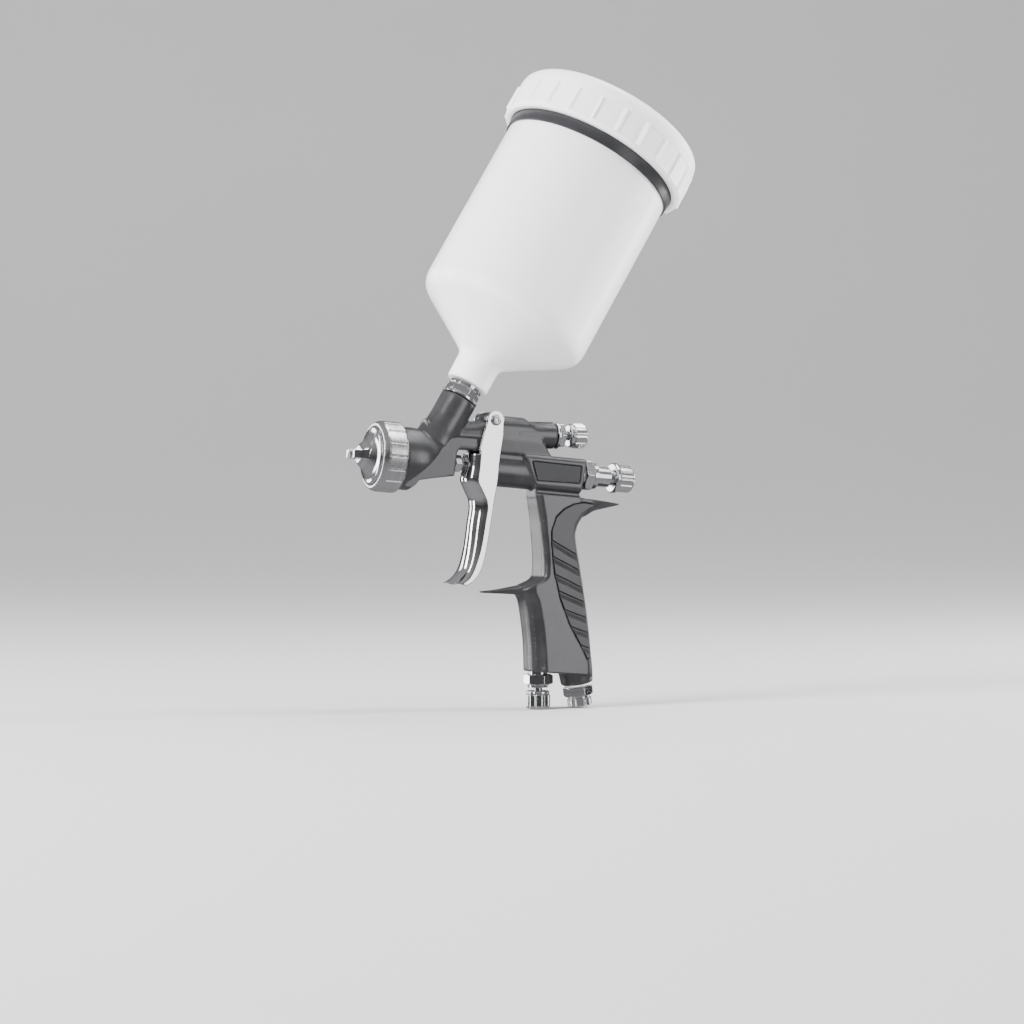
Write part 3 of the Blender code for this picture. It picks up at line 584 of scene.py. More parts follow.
def make_body():
    shells, cutters = [], []

    def join(bm):
        shells.append(raw_object("shell", bm))

    def cut(bm):
        cutters.append(raw_object("cutter", bm))

    join(turned(softened([
        (-58.5, 0), (-58.5, 15.6), (-58.0, HEAD_R), (-50.4, HEAD_R), (-50.2, 16.3), (-44, 16.5, None, 3),
        (-38, 15.8, None, 3), (-30, 12.6, None, 3), (-22, 8.2), (-21, 0)], 0.2, 4, False), 144, ORIGIN, X))
    join(loft(flowing([
        barrel_ring(-37, 21.9, 6.9), barrel_ring(-24, 22.2, 7.1), barrel_ring(-10, 22.9, 7.2),
        barrel_ring(-3.5, 25.6, 7.2), barrel_ring(3, 27.2, 7.2), barrel_ring(12, 27.4, 7.2)], 4)
        + [barrel_ring(0, 27.4, 7.2, slope=lambda z: 19.6 + (27.4 - z) * 0.8)]))
    swoosh = [(-51, -25), (-47.6, -12.6), (-42.5, -7.4), (-37.9, -2.8), (-34, 1.6), (-30.1, 6.2), (-27.2, 9.9),
              (-24.4, 12.6), (-21, 13.8), (-8, 14), (-8, -25)]
    cut(prism(swoosh, -22, -6.6))
    cut(prism(swoosh, 6.6, 22))
    cut(prism([(-46, -26), (-43.8, -15.1), (-41.6, -13.4), (-39.6, -10.8), (-31.2, -9), (-15, -6.1), (-15, -26)],
              -23, 23))
    join(prism([(-42, -12), (-40.5, -10.9), (-31.2, -9.2), (-20, -7), (-19.4, 5.4), (-17.6, 8.3), (-8, 9),
                (-8, 14), (-42, 13)], -6.5, 6.5))
    join(turned([(-7.15, 0, "round"), (-7.15, 4.5, "round"), (7.15, 4.5, "round"), (7.15, 0, "round")], 48,
                (0, 0, PIVOT_Z), (0, 1, 0), (1, 0, 0)))
    oval = [(BARREL_W * math.cos(2 * math.pi * k / 72), -1.45 + 8.85 * math.sin(2 * math.pi * k / 72))
            for k in range(72)]
    join(loft([[(x, y, z) for y, z in oval] for x in (1.5, 31)]))
    join(prism([(3.2, 3), (3.2, 9), (32.5, 9), (32.5, 3)], -5.4, 5.4))
    block = [(5.2, 8.3), (6.6, 7.9), (7.5, 7.1), (8.05, 5.6), (8.05, -7.2), (7.4, -9.2), (5.8, -9.9)]
    block = block + [(-y, z) for y, z in reversed(block)]
    join(loft([[(18.6 + (7.9 - z) * 0.48, y, z) for y, z in block],
               [(55.6 - (7.6 - z) * 0.12, y, z) for y, z in block]]))
    join(prism([(27.2, -7), (27.2, -14), (54, -14), (52.5, -7)], -6, 6))

    def handle_ring(z, front, rear, round_front):
        w = handle_w(z)
        if round_front:
            side = [(front, 1.2), (front + 0.35, 3.4), (front + 1.3, 5.8), (front + 2.7, 7.6), (front + 4.6, 8.8),
                    (front + 7.2, w)]
        else:
            side = [(front, 1.2), (front, 3.6), (front, 5.9), (front + 0.75, w - 1.9), (front + 1.7, w - 0.75),
                    (front + 3.0, w)]
        side += [(rear - 4.6, w), (rear - 2.9, w * 0.93), (rear - 1.5, w * 0.78), (rear - 0.6, w * 0.55),
                 (rear - 0.1, w * 0.3), (rear, w * 0.1)]
        side += [(x, -y) for x, y in reversed(side)]
        return [(x, y, z) for x, y in side]

    join(loft(flowing([
        handle_ring(-12.4, 27.1, 57.0, False), handle_ring(-18, 28.3, 57.6, False),
        handle_ring(-22, 29.3, 56.8, False), handle_ring(-27, 30.4, 54.2, False),
        handle_ring(-32.4, 31.3, 53.2, False), handle_ring(-41, 32.8, 54.9, False),
        handle_ring(-50, 33.9, 57.2, False), handle_ring(-55, 34.0, 58.4, False),
        handle_ring(-58, 31.9, 59.2, False), handle_ring(-61, 26.4, 59.9, False),
        handle_ring(-64, 22.2, 60.6, True), handle_ring(-69.3, 24.9, 61.8, True),
        handle_ring(-79.7, 27.6, 64.0, True), handle_ring(-93, 30.1, 66.4, True),
        handle_ring(-106.6, 31.6, 68.0, True)], 4)))
    spur = []
    for x, half, top, low in ((1.6, 1.5, -66.0, -66.8), (10.5, 4.2, -64.7, -66.6), (17.5, 5.6, -63.2, -66.4),
                              (21.9, 5.9, -62.1, -66.3), (28.8, 5.9, -60.3, -66.2), (33.4, 5.9, -57.2, -66.1),
                              (38, 5.9, -57, -66.0)):
        spur.append([(x, -half, top - 0.1), (x, -half * 0.5, top), (x, half * 0.5, top), (x, half, top - 0.1),
                     (x, half * 0.86, low), (x, -half * 0.86, low)])
    join(loft(flowing(spur, 3)))

    def hook_ring(x, low, half, high):
        mid = (high + low) / 2
        return [(x, -half, high - 0.1), (x, -half, mid), (x, -half * 0.84, low * 0.7 + mid * 0.3),
                (x, -half * 0.5, low), (x, half * 0.5, low), (x, half * 0.84, low * 0.7 + mid * 0.3),
                (x, half, mid), (x, half, high - 0.1), (x, half * 0.5, high), (x, -half * 0.5, high)]

    join(loft(flowing([
        hook_ring(50, -26, 8.7, -12.5), hook_ring(58.4, -21.9, 8.9, -12.6), hook_ring(63, -18.9, 8.2, -12.8),
        hook_ring(68.9, -17.2, 6.2, -13.0), hook_ring(74.8, -15.6, 4.2, -13.3),
        hook_ring(79.6, -14.3, 2.4, -13.5)], 4)))
    join(turned(softened([
        (9, 0), (9, 12.2), (14, 11.4, None, 3), (19, 10.2, None, 3), (25, 9.75, None, 4), (37.5, 9.75), (37.5, 0)],
        0.5, 4, False), 72, CUP_0, CUP_A))
    join(turned(softened([(-18, 0), (-18, 7.2), (4.2, 7.2), (4.8, 6.7), (4.8, 0)], 0.2, 3, False), 72, FAN_0, FAN_A))
    join(turned(softened([(-9, 0), (-9, 9.6), (-2, 9.2), (4.0, 8.7), (4.6, 8.2), (4.6, 0)], 0.4, 3, False), 72,
                IN_0, IN_A))
    bore = lambda pts, n, base, axis, side=(0, 1, 0): turned([(a, r, "round") for a, r in pts], n, base, axis, side)
    cut(bore([(-60, 0), (-60, 7.1), (-40, 7.1), (-40, 0)], 48, ORIGIN, X))
    cut(bore([(-60, 10.0), (-60, 13.4), (-50, 13.4), (-50, 10.0)], 46, ORIGIN, X, (0, 0.99, 0.14)))
    cut(bore([(-41, 0), (-41, 3.0), (-26.3, 3.0), (-26.3, 0)], 30, ORIGIN, X))
    cut(bore([(-27, 0), (-27, 4.0), (-16, 4.0), (-16, 0)], 36, ORIGIN, X))
    cut(bore([(3, 0), (3, 2.9), (29.5, 2.9), (29.5, 5.6), (39, 5.6), (39, 0)], 42, CUP_0, CUP_A))
    cut(bore([(0, 0), (0, 5.6), (38, 5.6), (38, 6.3), (58, 6.3), (58, 0)], 48, ORIGIN, X))
    cut(bore([(-14, 0), (-14, 4.8), (6, 4.8), (6, 0)], 36, FAN_0, FAN_A))
    cut(bore([(-13, 0), (-13, 5.2), (2, 5.2), (2, 0)], 36, REG_0, REG_A))
    cut(bore([(-6, 0), (-6, 4.6), (6, 4.6), (6, 0)], 36, IN_0, IN_A))
    duct = Vector((41, 0, -3)) - Vector((60.2, 0, -104))
    cut(bore([(0, 0), (0, 2.8), (duct.length, 2.8), (duct.length, 0)], 24, (60.2, 0, -104), duct))
    cut(bore([(-9, 0), (-9, 2.3), (9, 2.3), (9, 0)], 32, (0, 0, PIVOT_Z), (0, 1, 0), (1, 0, 0)))
    for sign in (-1, 1):
        cut(prism(PLATE_EDGE, 7.1 * sign, 9 * sign))
        cut(prism(GRIP_EDGE, lambda x, z, s=sign: s * (handle_w(z) - 1.3), lambda x, z, s=sign: s * (handle_w(z) + 2)))
    body = skinned("gun_body", shells, cutters, 0.45, 3)
    finish_piece(body, "gun_body", GUNMETAL)
    body.data.shade_smooth()
    return body


PLATE_EDGE = [(23.2, 4.7), (52.4, 4.3), (52.0, -5.1), (26.9, -5.7)]
GRIP_EDGE = [
    (61, -15.4), (54.7, -14.9), (48.9, -16.2), (43.2, -19.3), (38.8, -23.9), (36.6, -31), (37.1, -38.9),
    (38.3, -46.8), (40, -54.6), (43.9, -66.6), (49.6, -79), (55.7, -88.2), (59.7, -94.4), (62.4, -98.8),
    (64.2, -96.4), (62.6, -87.9), (60.0, -74.7), (56.9, -61.5), (54.9, -53.6), (51.8, -40.5), (50.0, -32.6),
    (50.8, -26.7), (53.9, -21.3), (58.4, -17.9), (61, -16.9)]


def inset(outline, gap):
    area = sum(a[0] * b[1] - b[0] * a[1] for a, b in zip(outline, outline[1:] + outline[:1]))
    sign = 1 if area > 0 else -1
    lines = []
    for (x0, z0), (x1, z1) in zip(outline, outline[1:] + outline[:1]):
        length = math.hypot(x1 - x0, z1 - z0)
        nx, nz = -(z1 - z0) / length * sign, (x1 - x0) / length * sign
        lines.append((x0 + nx * gap, z0 + nz * gap, x1 - x0, z1 - z0))
    result = []
    for (ax, az, adx, adz), (bx, bz, bdx, bdz) in zip(lines[-1:] + lines[:-1], lines):
        cross = adx * bdz - adz * bdx
        if abs(cross) < 1e-9:
            result.append((bx, bz))
            continue
        t = ((bx - ax) * bdz - (bz - az) * bdx) / cross
        result.append((ax + adx * t, az + adz * t))
    return result


make_body()

# ------------------------------------------------------- side plates and inlays
for side_name, sign in (("left", -1), ("right", 1)):
    flat = raw_object(f"side_plate_{side_name}_fine", prism(inset(PLATE_EDGE, 0.32), 7.4 * sign, 8.0 * sign))
    bev = flat.modifiers.new("edge", "BEVEL")
    bev.width = 0.22
    bev.segments = 3
    baked(flat)
    finish_piece(flat, f"side_plate_{side_name}", PLATE)
    weighted(flat)

GROOVE_L = [(37.1, -36.2), (38.1, -44.7), (40, -54.1), (43, -62.9), (46.7, -72.3), (52.2, -81.5), (57.6, -90.8)]
GROOVE_R = [(52.2, -43.1), (53.7, -51), (55.8, -60), (58.2, -67.8), (60.4, -76.2), (61.9, -84.1), (63.1, -92.1)]


def make_inlay(side_name, sign):
    obj = raw_object("inlay", prism(
        inset(GRIP_EDGE, 0.37), lambda x, z: sign * (handle_w(z) - 1.0), lambda x, z: sign * (handle_w(z) + 0.1)))
    tools = []
    for (x0, z0), (x1, z1) in zip(GROOVE_L, GROOVE_R):
        d = Vector((x1 - x0, z1 - z0)).normalized()
        down = Vector((d.y, -d.x)) if d.x > 0 else Vector((-d.y, d.x))
        a, b = Vector((x0, z0)) - d * 3, Vector((x1, z1)) + d * 3
        rings = []
        for p in (a, b):
            w = handle_w(p.y)
            # A steep dark cut whose lower side slopes back out to the surface.
            section = [(-0.25, w + 0.7), (0.0, w - 0.85), (0.9, w - 0.75), (3.0, w + 0.12), (3.0, w + 0.7)]
            rings.append([(p.x + down.x * s, sign * y, p.y + down.y * s) for s, y in section])
        tools.append(combine(obj, loft(rings), "DIFFERENCE"))
    return forged(f"grip_inlay_{side_name}", obj, tools, 0.17, 2, INLAY)


make_inlay("left", -1)
make_inlay("right", 1)

# -------------------------------------------------------------- spray head pieces
lathe("fluid_nozzle", [
    (-72.0, 1.3), (-69.5, 2.2), (-66, 4.4), (-62.8, 5.8)] + hexnut(-62.2, -58.8, 7.0, 0.5) + [
    (-58.8, 6.7), (-42, 6.7), (-42, 2.3), (-64, 2.3), (-67.5, 1.8), (-72.0, 0.85)], 72, ORIGIN, X, STEEL, 0.12, 3)


def make_cap():
    cap = raw_object("air_cap_fine", turned(softened([
        (-60.5, 13.2), (-60.5, 16.1), (-61.5, 16.1), (-61.5, 15.3), (-64.8, 15.3), (-65.5, 14.4, None, 0.4),
        (-66.2, 12.0, None, 1.6), (-68.8, 8.0, None, 2.0), (-71.2, 5.9, None, 1.2), (-72.4, 4.4, None, 0.5),
        (-72.4, 1.75, None, 0.15), (-70.9, 1.75), (-69.6, 4.6), (-65.6, 8.8), (-63.4, 12.4)], 0.25, 6),
        144, ORIGIN, X))
    tools = []

    def ring(x, sign, y0, y1, h):
        c = 0.3
        pts = [(y0 + c, -h), (y1 - c, -h), (y1, -h + c), (y1, h - c), (y1 - c, h), (y0 + c, h), (y0, h - c), (y0, -h + c)]
        return [(x, sign * y, z) for y, z in pts]

    for sign in (-1, 1):
        rows = flowing([ring(-64.6, sign, 8.4, 12.3, 5.6), ring(-66.4, sign, 7.0, 10.2, 4.4),
                        ring(-68.6, sign, 5.4, 8.2, 3.0), ring(-70.6, sign, 4.6, 7.0, 2.4),
                        ring(-72.6, sign, 4.0, 6.3, 2.3), ring(-76.1, sign, 3.7, 5.9, 2.3)], 4)
        rows.append(ring(-76.4, sign, 3.95, 5.65, 2.05))
        tools.append(combine(cap, loft(rows), "UNION"))
    for sign in (-1, 1):
        # An air hole in each horn's inner face, aimed at the middle.
        start, aim = Vector((-74.3, sign * 5.2, 0)), Vector((-0.5, -sign * 4.0, 0)).normalized()
        hole = turned([(0, 0, "round"), (0, 0.75, "round"), (4, 0.75, "round"), (4, 0, "round")], 32, start, aim, (0, 0, 1))
        tools.append(combine(cap, hole, "DIFFERENCE"))
    for k in range(8):
        # A ring of small air holes in the cap's face.
        a = math.radians(22.5 + 45 * k)
        base = Vector((-74, 3.1 * math.cos(a), 3.1 * math.sin(a)))
        hole = turned([(0, 0, "round"), (0, 0.4, "round"), (4, 0.4, "round"), (4, 0, "round")], 16, base, X)
        tools.append(combine(cap, hole, "DIFFERENCE"))
    baked(cap)
    for tool in tools:
        bpy.data.objects.remove(tool, do_unlink=True)
    finish_piece(cap, "air_cap", CAP_METAL)
    return weighted(cap, 34)


make_cap()
PAD = ("pad", 16, 0.045, 0.085, 0.55)
lathe("air_cap_ring", [
    (-50.6, 16.45, None, 0.1), (-50.6, 17.3, None, 0.1), (-51.5, 18.2, None, 0.3), (-52.0, RING_R, PAD, 0.3),
    (-60.9, RING_R, PAD, 0.4), (-61.5, 18.3, None, 0.2), (-62.3, 18.1, None, 0.3), (-64.1, 17.1, None, 0.3),
    (-64.3, 16.6, None, 0.15), (-64.3, 15.7, None, 0.1), (-61.8, 15.7, None, 0), (-61.8, 16.45, None, 0)],
    320, ORIGIN, X, SATIN_X)

# ------------------------------------------------------------- needle and valve
lathe("fluid_needle", [(-72.8, 0), (-72.8, 0.18), (-71.2, 0.42), (-66, 1.25), (74, 1.25), (74, 0)], 32,
      ORIGIN, X, STEEL, 0.1)
lathe("packing_gland", [(-23.4, 1.6), (-23.4, 3.7), (-19.0, 3.7)] + hexnut(-19.0, -15.4, 4.3, 0.45) + [
    (-15.4, 3.7), (-14.4, 3.6), (-14.4, 1.6)], 72, ORIGIN, X, CHROME_X, 0.12)
lathe("air_valve_guide", [(-1.3, 2.5), (-1.3, 5.4), (-0.7, 6.0), (1.2, 6.0), (1.2, 5.3), (12.8, 5.3),
                          (12.8, 2.5)], 64, ORIGIN, X, CHROME_X, 0.2)
lathe("air_valve_rod", [(-9.6, 1.6), (-9.6, 3.6), (-9.0, 4.2), (-7.8, 4.2), (-7.8, 2.1), (18.1, 2.1),
                        (18.1, 4.6), (21, 4.6), (21, 1.6)], 64, ORIGIN, X, STEEL, 0.15)
lathe("rear_bush", [(41.5, 4.4), (41.5, 6.0), (56.3, 6.0)] + hexnut(56.3, 61.0, 7.6, 0.8) + [
    (61.0, 7.2), (61.6, 7.0), (63.9, 7.0), (64.2, 5.4), (72, 5.4), (72, 4.4)], 144, ORIGIN, X, CHROME_X, 0.2)
KNOB = ("rib", 12, 0.07, 0.2)
lathe("fluid_knob", [
    (83.5, 0), (83.5, 3.2), (59, 3.2), (59, 4.0), (74, 4.0), (74, 7.4, None, 0.2), (74.5, 8.1), (75.2, 8.2),
    (76.6, 8.1), (77.0, 7.2), (77.6, 7.25, KNOB), (84.4, 7.3, KNOB), (85.2, 6.7), (85.8, 5.6), (85.8, 4.6, None, 0.2),
    (85.3, 4.2, None, 0.2), (85.3, 0)], 288, ORIGIN, X, CHROME_X, 0.25)

# --------------------------------------------------------------------- fan valve
SMALL_KNOB = ("rib", 10, 0.08, 0.22)
lathe("fan_valve_housing", [
    (-11.5, 2.6), (-11.5, 4.5), (5.1, 4.5), (5.1, 6.9), (5.4, 7.2), (6.5, 7.2), (6.8, 6.9)]
    + hexnut(6.9, 10.1, 5.9, 0.5) + [(10.4, 5.2), (10.4, 2.6)], 144, FAN_0, FAN_A, CHROME_FAN, 0.15)
lathe("fan_spindle", [(-13.8, 0), (-13.8, 2.2), (19.6, 2.2), (19.6, 0)], 48, FAN_0, FAN_A, STEEL, 0.2)
lathe("fan_knob", [
    (13.4, 2.5), (13.4, 5.5), (13.8, 6.1), (14.9, 6.3), (15.2, 5.7), (15.5, 5.9), (15.9, 6.65, SMALL_KNOB),
    (21.8, 6.7, SMALL_KNOB), (22.6, 6.0), (23.2, 5.0), (23.2, 2.5)], 240, FAN_0, FAN_A, CHROME_FAN, 0.22)
lathe("fan_knob_screw", [(20.0, 0), (20.0, 1.4), (21.4, 1.4), (21.4, 2.2), (23.3, 2.2), (23.3, 1.0), (22.8, 0.9),
                         (22.8, 0)], 48, FAN_0, FAN_A, STEEL, 0.12)

# ----------------------------------------------------------------- air regulator
lathe("regulator_bush", [
    (-7, 2.6), (-7, 4.9), (0.5, 4.9)] + hexnut(0.5, 5.9, 6.9, 0.7) + [
    (5.9, 5.7), (6.1, 5.5), (7.5, 5.5), (7.5, 2.6)], 144, REG_0, REG_A, CHROME_REG, 0.15)
lathe("regulator_spindle", [(-12, 0), (-12, 2.2), (15.4, 2.2), (15.4, 0)], 48, REG_0, REG_A, STEEL, 0.2)
lathe("regulator_knob", [
    (9.2, 2.5), (9.2, 5.5), (9.6, 6.1), (10.5, 6.3), (10.8, 5.7), (11.0, 5.9), (11.4, 6.45, SMALL_KNOB),
    (17.4, 6.5, SMALL_KNOB), (18.3, 6.0), (18.9, 5.2), (18.9, 2.5)], 240, REG_0, REG_A, CHROME_REG, 0.22)
lathe("regulator_knob_screw", [(15.8, 0), (15.8, 1.4), (16.9, 1.4), (16.9, 2.2), (18.6, 2.2), (18.6, 1.0),
                               (18.1, 0.9), (18.1, 0)], 48, REG_0, REG_A, STEEL, 0.12)

# --------------------------------------------------------------------- air inlet
thread = []
for k in range(5):
    s = 12.6 + 0.76 * k
    thread += [(s, THREAD_R - 0.48, None, 0.08), (s + 0.3, THREAD_R, None, 0.08), (s + 0.46, THREAD_R, None, 0.08)]
lathe("inlet_nipple", [
    (-4, 3.2), (-4, 4.3), (6.0, 4.3)] + hexnut(6.0, 11.2, 7.0, 0.7) + [
    (11.2, 6.2), (11.4, 5.8), (12.3, 5.8)] + thread + [(16.4, 6.1), (16.7, 5.9), (16.7, 3.2)],
    144, IN_0, IN_A, CHROME_IN, 0.15, 3)


# ----------------------------------------------------------------------- trigger
def make_trigger():
    w, t = TRIGGER_W - 0.12, PLATE_T - 0.2

    def nose_ring(z, rear, front, bulge, steps=28):
        outer, inner = [(rear, w, z)], [(rear, w - t, z)]
        for k in range(steps + 1):
            angle = math.pi * k / steps
            y, out = math.cos(angle), math.sin(angle)
            outer.append((front - bulge * out, w * y, z))
            inner.append((front + 0.25 - (bulge - t + 0.25) * out, (w - t) * y, z))
        outer.append((rear, -w, z))
        inner.append((rear, t - w, z))
        return outer + inner[::-1]

    rows = [nose_ring(*v) for v in (
        (5.6, -5.2, -6.7, 5.9), (-0.9, -5.2, -6.7, 6.0), (-7.6, -5.4, -7.1, 6.2), (-13.4, -2.8, -4.3, 6.4),
        (-19.1, 0.2, -1.2, 6.4), (-23.1, 0.6, -0.6, 6.5), (-29.2, 0.2, -1.2, 6.4), (-41.2, -1.0, -2.4, 5.9),
        (-51.6, -3.2, -4.7, 5.1), (-56.8, -5.2, -6.7, 5.1), (-60.9, -7.8, -9.8, 5.6), (-63.0, -10.6, -13.0, 5.8))]
    obj = raw_object("trigger", loft(flowing(rows, 4)))
    r = 5.0
    a0, a1 = math.atan2(22.5 - PIVOT_Z, 4.9), math.atan2(22.5 - PIVOT_Z, -4.9) + 2 * math.pi
    top = [(r * math.cos(a0 + (a1 - a0) * k / 24), PIVOT_Z + r * math.sin(a0 + (a1 - a0) * k / 24)) for k in range(25)]
    rear = [(-9.6, -63.6), (-6.4, -61.4), (-3.3, -57.2), (-1.5, -52.2), (-0.1, -44.2), (1.1, -33.6), (2.4, -17.8),
            (3.6, -7.2), (3.9, 3.4), (5.1, 16.7)]
    front = [(-6.4, 17.2), (-8.2, 7.6), (-7.3, 6.4), (-7.3, -0.2), (-7.8, -8.1), (-4.5, -14.1), (-1.6, -19.6),
             (-1.2, -22.6), (-1.8, -28.6), (-3.1, -41.8), (-5.5, -52.2), (-8.4, -59.4), (-12.6, -63.3)]

    def eased(points, per=4):
        return [(p[0], p[2]) for (p,) in flowing([[(x, 0.0, z)] for x, z in points], per)]

    outline = eased(rear) + top + [(-6.4, 17.2)] + eased(front[1:])
    tools = [combine(obj, prism(outline, sign * TRIGGER_W, sign * (TRIGGER_W - PLATE_T)), "UNION")
             for sign in (-1, 1)]
    tools.append(combine(obj, prism([(-16, 10), (-2, 10), (-2, -5.5), (-3, -6.5), (-16, -6.5)], -3.5, 3.5), "DIFFERENCE"))
    tools.append(combine(obj, turned([(-12, 0, "round"), (-12, 2.3, "round"), (12, 2.3, "round"), (12, 0, "round")], 48,
                                     (0, 0, PIVOT_Z), (0, 1, 0), (1, 0, 0)), "DIFFERENCE"))
    return forged("trigger", obj, tools, 0.24, 7, CHROME)


make_trigger()
lathe("trigger_pin", [(-9.9, 0), (-9.9, 1.1), (-10.1, 1.4), (-10.0, 2.2), (-9.3, 3.0), (-9.3, 2.0), (8.9, 2.0), (8.9, 1.3),
                      (2, 1.3), (2, 0)], 64, (0, 0, PIVOT_Z), (0, 1, 0), STEEL, 0.2, 4, (1, 0, 0))
lathe("trigger_screw", [(2.4, 0), (2.4, 1.0), (9.3, 1.0), (9.3, 3.0), (10.0, 2.2), (10.1, 1.4), (9.6, 1.1), (9.6, 0)], 64,
      (0, 0, PIVOT_Z), (0, 1, 0), STEEL, 0.2, 4, (1, 0, 0))

# --------------------------------------------------------------------------- cup
lathe("cup_washer", [(37.8, 5.6), (37.8, 9.9), (39.2, 9.9), (39.2, 5.6)], 96, CUP_0, CUP_A, CHROME_CUP, 0.3)
lathe("cup_adapter", [
    (30.0, 3.6), (30.0, 5.2), (39.5, 5.2)] + hexnut(39.5, 43.4, 8.1, 0.7) + [
    (43.6, 8.5), (43.9, 8.8), (45.7, 8.8), (46.0, 8.6), (46.0, 7.4), (56, 7.4), (56, 3.6)], 144, CUP_0, CUP_A,
    CHROME_CUP, 0.18)
lathe("cup_body", [
    (46.3, 7.8, None, 0.3), (46.3, 10.7, None, 0.6), (47.0, 11.4, None, 0.5), (59.6, 11.6, None, 2), (61.8, 12.6, None, 1.5),
    (63.8, 15.0, None, 2), (82.0, 41.9, None, 3), (84.8, 45.2, None, 2.4), (89.3, CUP_R, None, 3), (CUP_TOP, CUP_R, None, 0.5),
    (CUP_TOP, 44.6, None, 0.5), (90.2, 44.6, None, 3), (86.6, 43.1, None, 2), (83.6, 40.4, None, 2),
    (65.8, 13.6, None, 2), (62.8, 9.6, None, 2), (59.4, 7.8, None, 1)], 160, CUP_0, CUP_A, CUP_PP, 0.4, 7)
lathe("cup_band", [(181.8, CUP_R + 0.3), (181.8, 47.6), (182.1, 47.9), (190.0, 47.9), (190.3, 47.6), (190.3, CUP_R + 0.3)],
      160, CUP_0, CUP_A, BAND, 0.15)
LID = ("rib", 24, -0.0, 0.06)
RIBS = ("rib", 24, -0.022, 0.11)
lathe("cup_lid", [
    (188.1, 48.4, None, 0.3), (188.1, 50.6, None, 0.3), (188.7, 51.4, None, 0.5), (189.8, 52.4, None, 0.6),
    (189.9, 52.5), (190.3, 52.3, RIBS, 0.3), (203.2, 52.3, RIBS, 0.8), (203.8, 52.5), (207.2, 52.5), (210.2, 51.9, None, 1.2), (212.8, 49.6, None, 1.2),
    (214.2, 45.5, None, 1.0), (214.2, 2.5, None, 0.2), (211.6, 2.5, None, 0.2), (211.6, 47.0, None, 1.0),
    (208.6, 48.4, None, 0.6)], 720, CUP_0, CUP_A, LID_PP, 0.4, 4)
lathe("lid_seal", [(209.0, 42.5), (209.0, 46.6), (211.2, 46.6), (211.2, 42.5)], 96, CUP_0, CUP_A, PTFE, 0.2)
lathe("lid_vent_plug", [(207, 0), (207, 1.6), (208, 2.1), (214.6, 2.1), (214.6, 4.6), (216.2, 4.2), (216.8, 2.6),
                        (216.8, 0)], 64, CUP_0, CUP_A, RUBBER, 0.35)

# ------------------------------------------------------------------------- stage
FLOOR_Z = cad_box[0].z - 0.0002


def stage_material(name, colour, rough):
    g = Graph(name)
    cloud = g.noise(3, 3, 0.5)
    tone = g.ramp(cloud, [(0.2, shade(colour, 0.985)), (0.8, colour)])
    r = g.span(g.noise(60, 3, 0.5), rough - 0.03, rough + 0.03)
    g.shader.inputs["Specular IOR Level"].default_value = 0.25
    return g.done(Base_Color=tone, Metallic=0.0, Roughness=r)


def bowl():
    """A round floor whose rim curves up into a low wall, pale all round."""
    rings = [[Vector((0.0, 0.0, FLOOR_Z))]]
    profile = [(0.3, 0), (0.7, 0), (1.1, 0.0), (1.5, 0.012), (1.9, 0.05), (2.25, 0.13), (2.55, 0.25), (2.8, 0.42),
               (3.0, 0.65), (3.12, 0.95), (3.18, 1.3), (3.2, 1.8)]
    for r, h in profile:
        rings.append([Vector((r * math.cos(2 * math.pi * k / 96), r * math.sin(2 * math.pi * k / 96), FLOOR_Z + h))
                      for k in range(96)])
    bm = bmesh.new()
    made = [[bm.verts.new(p) for p in ring] for ring in rings]
    for one, two in zip(made, made[1:]):
        for i in range(96):
            j = (i + 1) % 96
            if len(one) == 1:
                bm.faces.new((one[0], two[i], two[j]))
            else:
                bm.faces.new((one[i], two[i], two[j], one[j]))
    mesh = bpy.data.meshes.new("stage_floor")
    bm.to_mesh(mesh)
    bm.free()
    mesh.materials.append(stage_material("pale_floor", (0.60, 0.60, 0.605), 0.6))
    mesh.shade_smooth()
    obj = bpy.data.objects.new("stage_floor", mesh)
    bpy.context.scene.collection.objects.link(obj)
    mod = obj.modifiers.new("round", "SUBSURF")
    mod.levels = mod.render_levels = 2
    obj.visible_glossy = False
    return obj


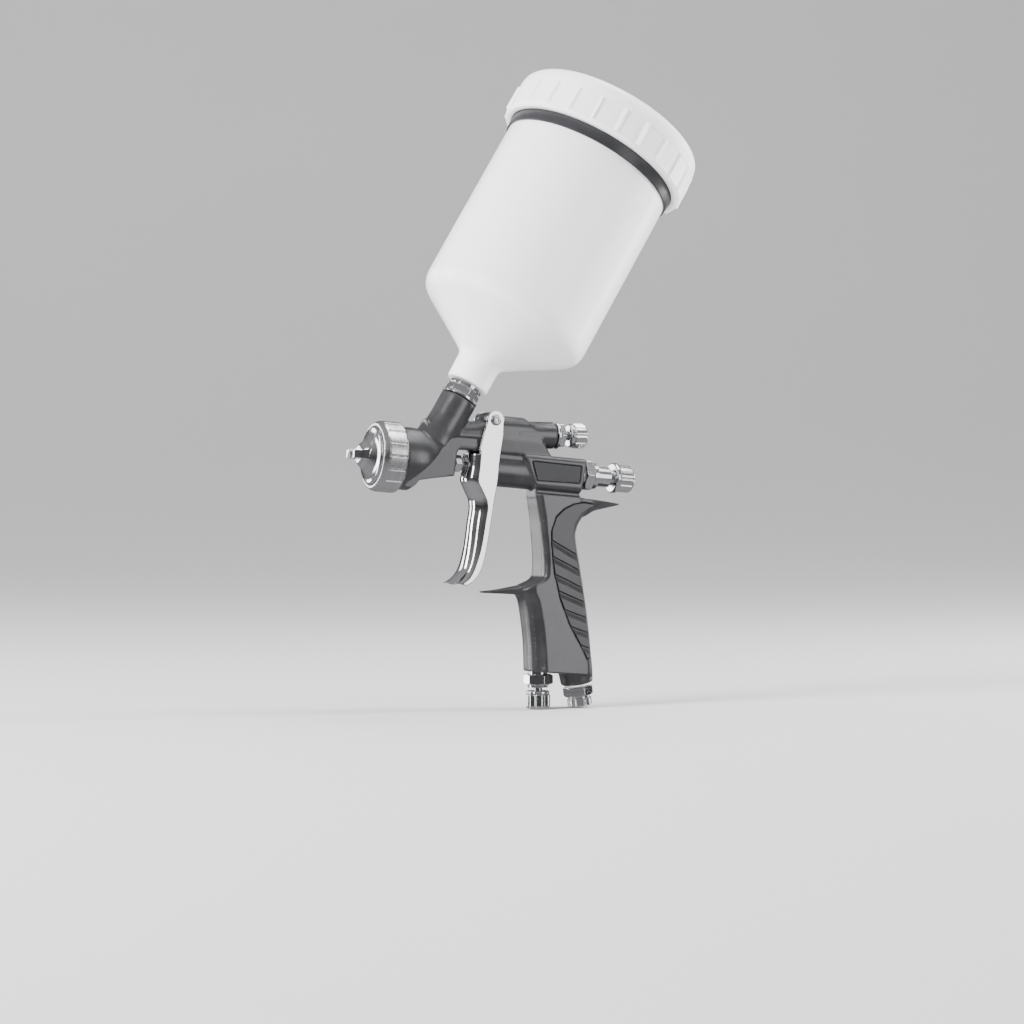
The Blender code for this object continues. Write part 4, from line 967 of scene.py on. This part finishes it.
bowl()
world = bpy.data.worlds.new("studio")
bpy.context.scene.world = world
world.use_nodes = True
wt = world.node_tree
direction = wt.nodes.new("ShaderNodeTexCoord").outputs["Generated"]
split = wt.nodes.new("ShaderNodeSeparateXYZ")
wt.links.new(direction, split.inputs[0])
sky = wt.nodes.new("ShaderNodeValToRGB")
height = wt.nodes.new("ShaderNodeMapRange")
height.inputs["From Min"].default_value = -1
wt.links.new(split.outputs["Z"], height.inputs["Value"])
wt.links.new(height.outputs["Result"], sky.inputs["Fac"])
stops = [(0.0, 0.42), (0.30, 0.34), (0.43, 0.16), (0.475, 0.045), (0.55, 0.09), (0.72, 0.30), (1.0, 0.42)]
while len(sky.color_ramp.elements) < len(stops):
    sky.color_ramp.elements.new(0.5)
for element, (at, grey) in zip(sky.color_ramp.elements, stops):
    element.position = at
    element.color = (grey, grey, grey * 1.03, 1)
wt.links.new(sky.outputs["Color"], wt.nodes["Background"].inputs["Color"])
wt.nodes["Background"].inputs["Strength"].default_value = 1.0

centre = Vector((-0.01, 0, 0.06))


def softbox(name, place, size, power, aim=None, glossy=True):
    data = bpy.data.lights.new(name, "AREA")
    data.shape = "RECTANGLE"
    data.size, data.size_y = size
    data.energy = power
    obj = bpy.data.objects.new(name, data)
    bpy.context.scene.collection.objects.link(obj)
    obj.location = place
    obj.rotation_euler = ((aim or centre) - Vector(place)).to_track_quat("-Z", "Y").to_euler()
    obj.visible_camera = False
    obj.visible_glossy = glossy
    return obj


softbox("sky_fill", (0, 0, 2.6), (3.4, 3.4), 26, Vector((0, 0, 0)), False)
softbox("key_left", (-1.55, -0.30, 0.80), (0.5, 0.9), 85, Vector((0.02, 0, 0.14)), False)
softbox("key_right", (1.45, -0.35, 0.45), (0.4, 0.9), 60, Vector((0.02, 0, 0.14)), False)
softbox("back_left", (-0.70, 1.35, 0.22), (0.34, 0.9), 6)
softbox("side_right", (0.70, -1.35, 0.20), (0.62, 0.95), 5)
softbox("top", (0.45, 0.05, 1.35), (1.1, 0.55), 17)
softbox("front_left", (-1.45, -0.55, 0.75), (0.30, 0.9), 8)
softbox("left_strip", (-1.25, 0.75, 0.25), (0.28, 1.2), 12)
softbox("right_strip", (1.35, 0.25, 0.35), (0.30, 1.2), 8)

cam_data = bpy.data.cameras.new("camera")
cam_data.sensor_width = 36
cam_data.lens = 86.23
cam_data.dof.use_dof = False
camera = bpy.data.objects.new("camera", cam_data)
bpy.context.scene.collection.objects.link(camera)
camera.location = (-0.56709, -1.18295, 0.03936)
camera.rotation_euler = (math.radians(90), 0, math.radians(-24.5))
bpy.context.scene.camera = camera
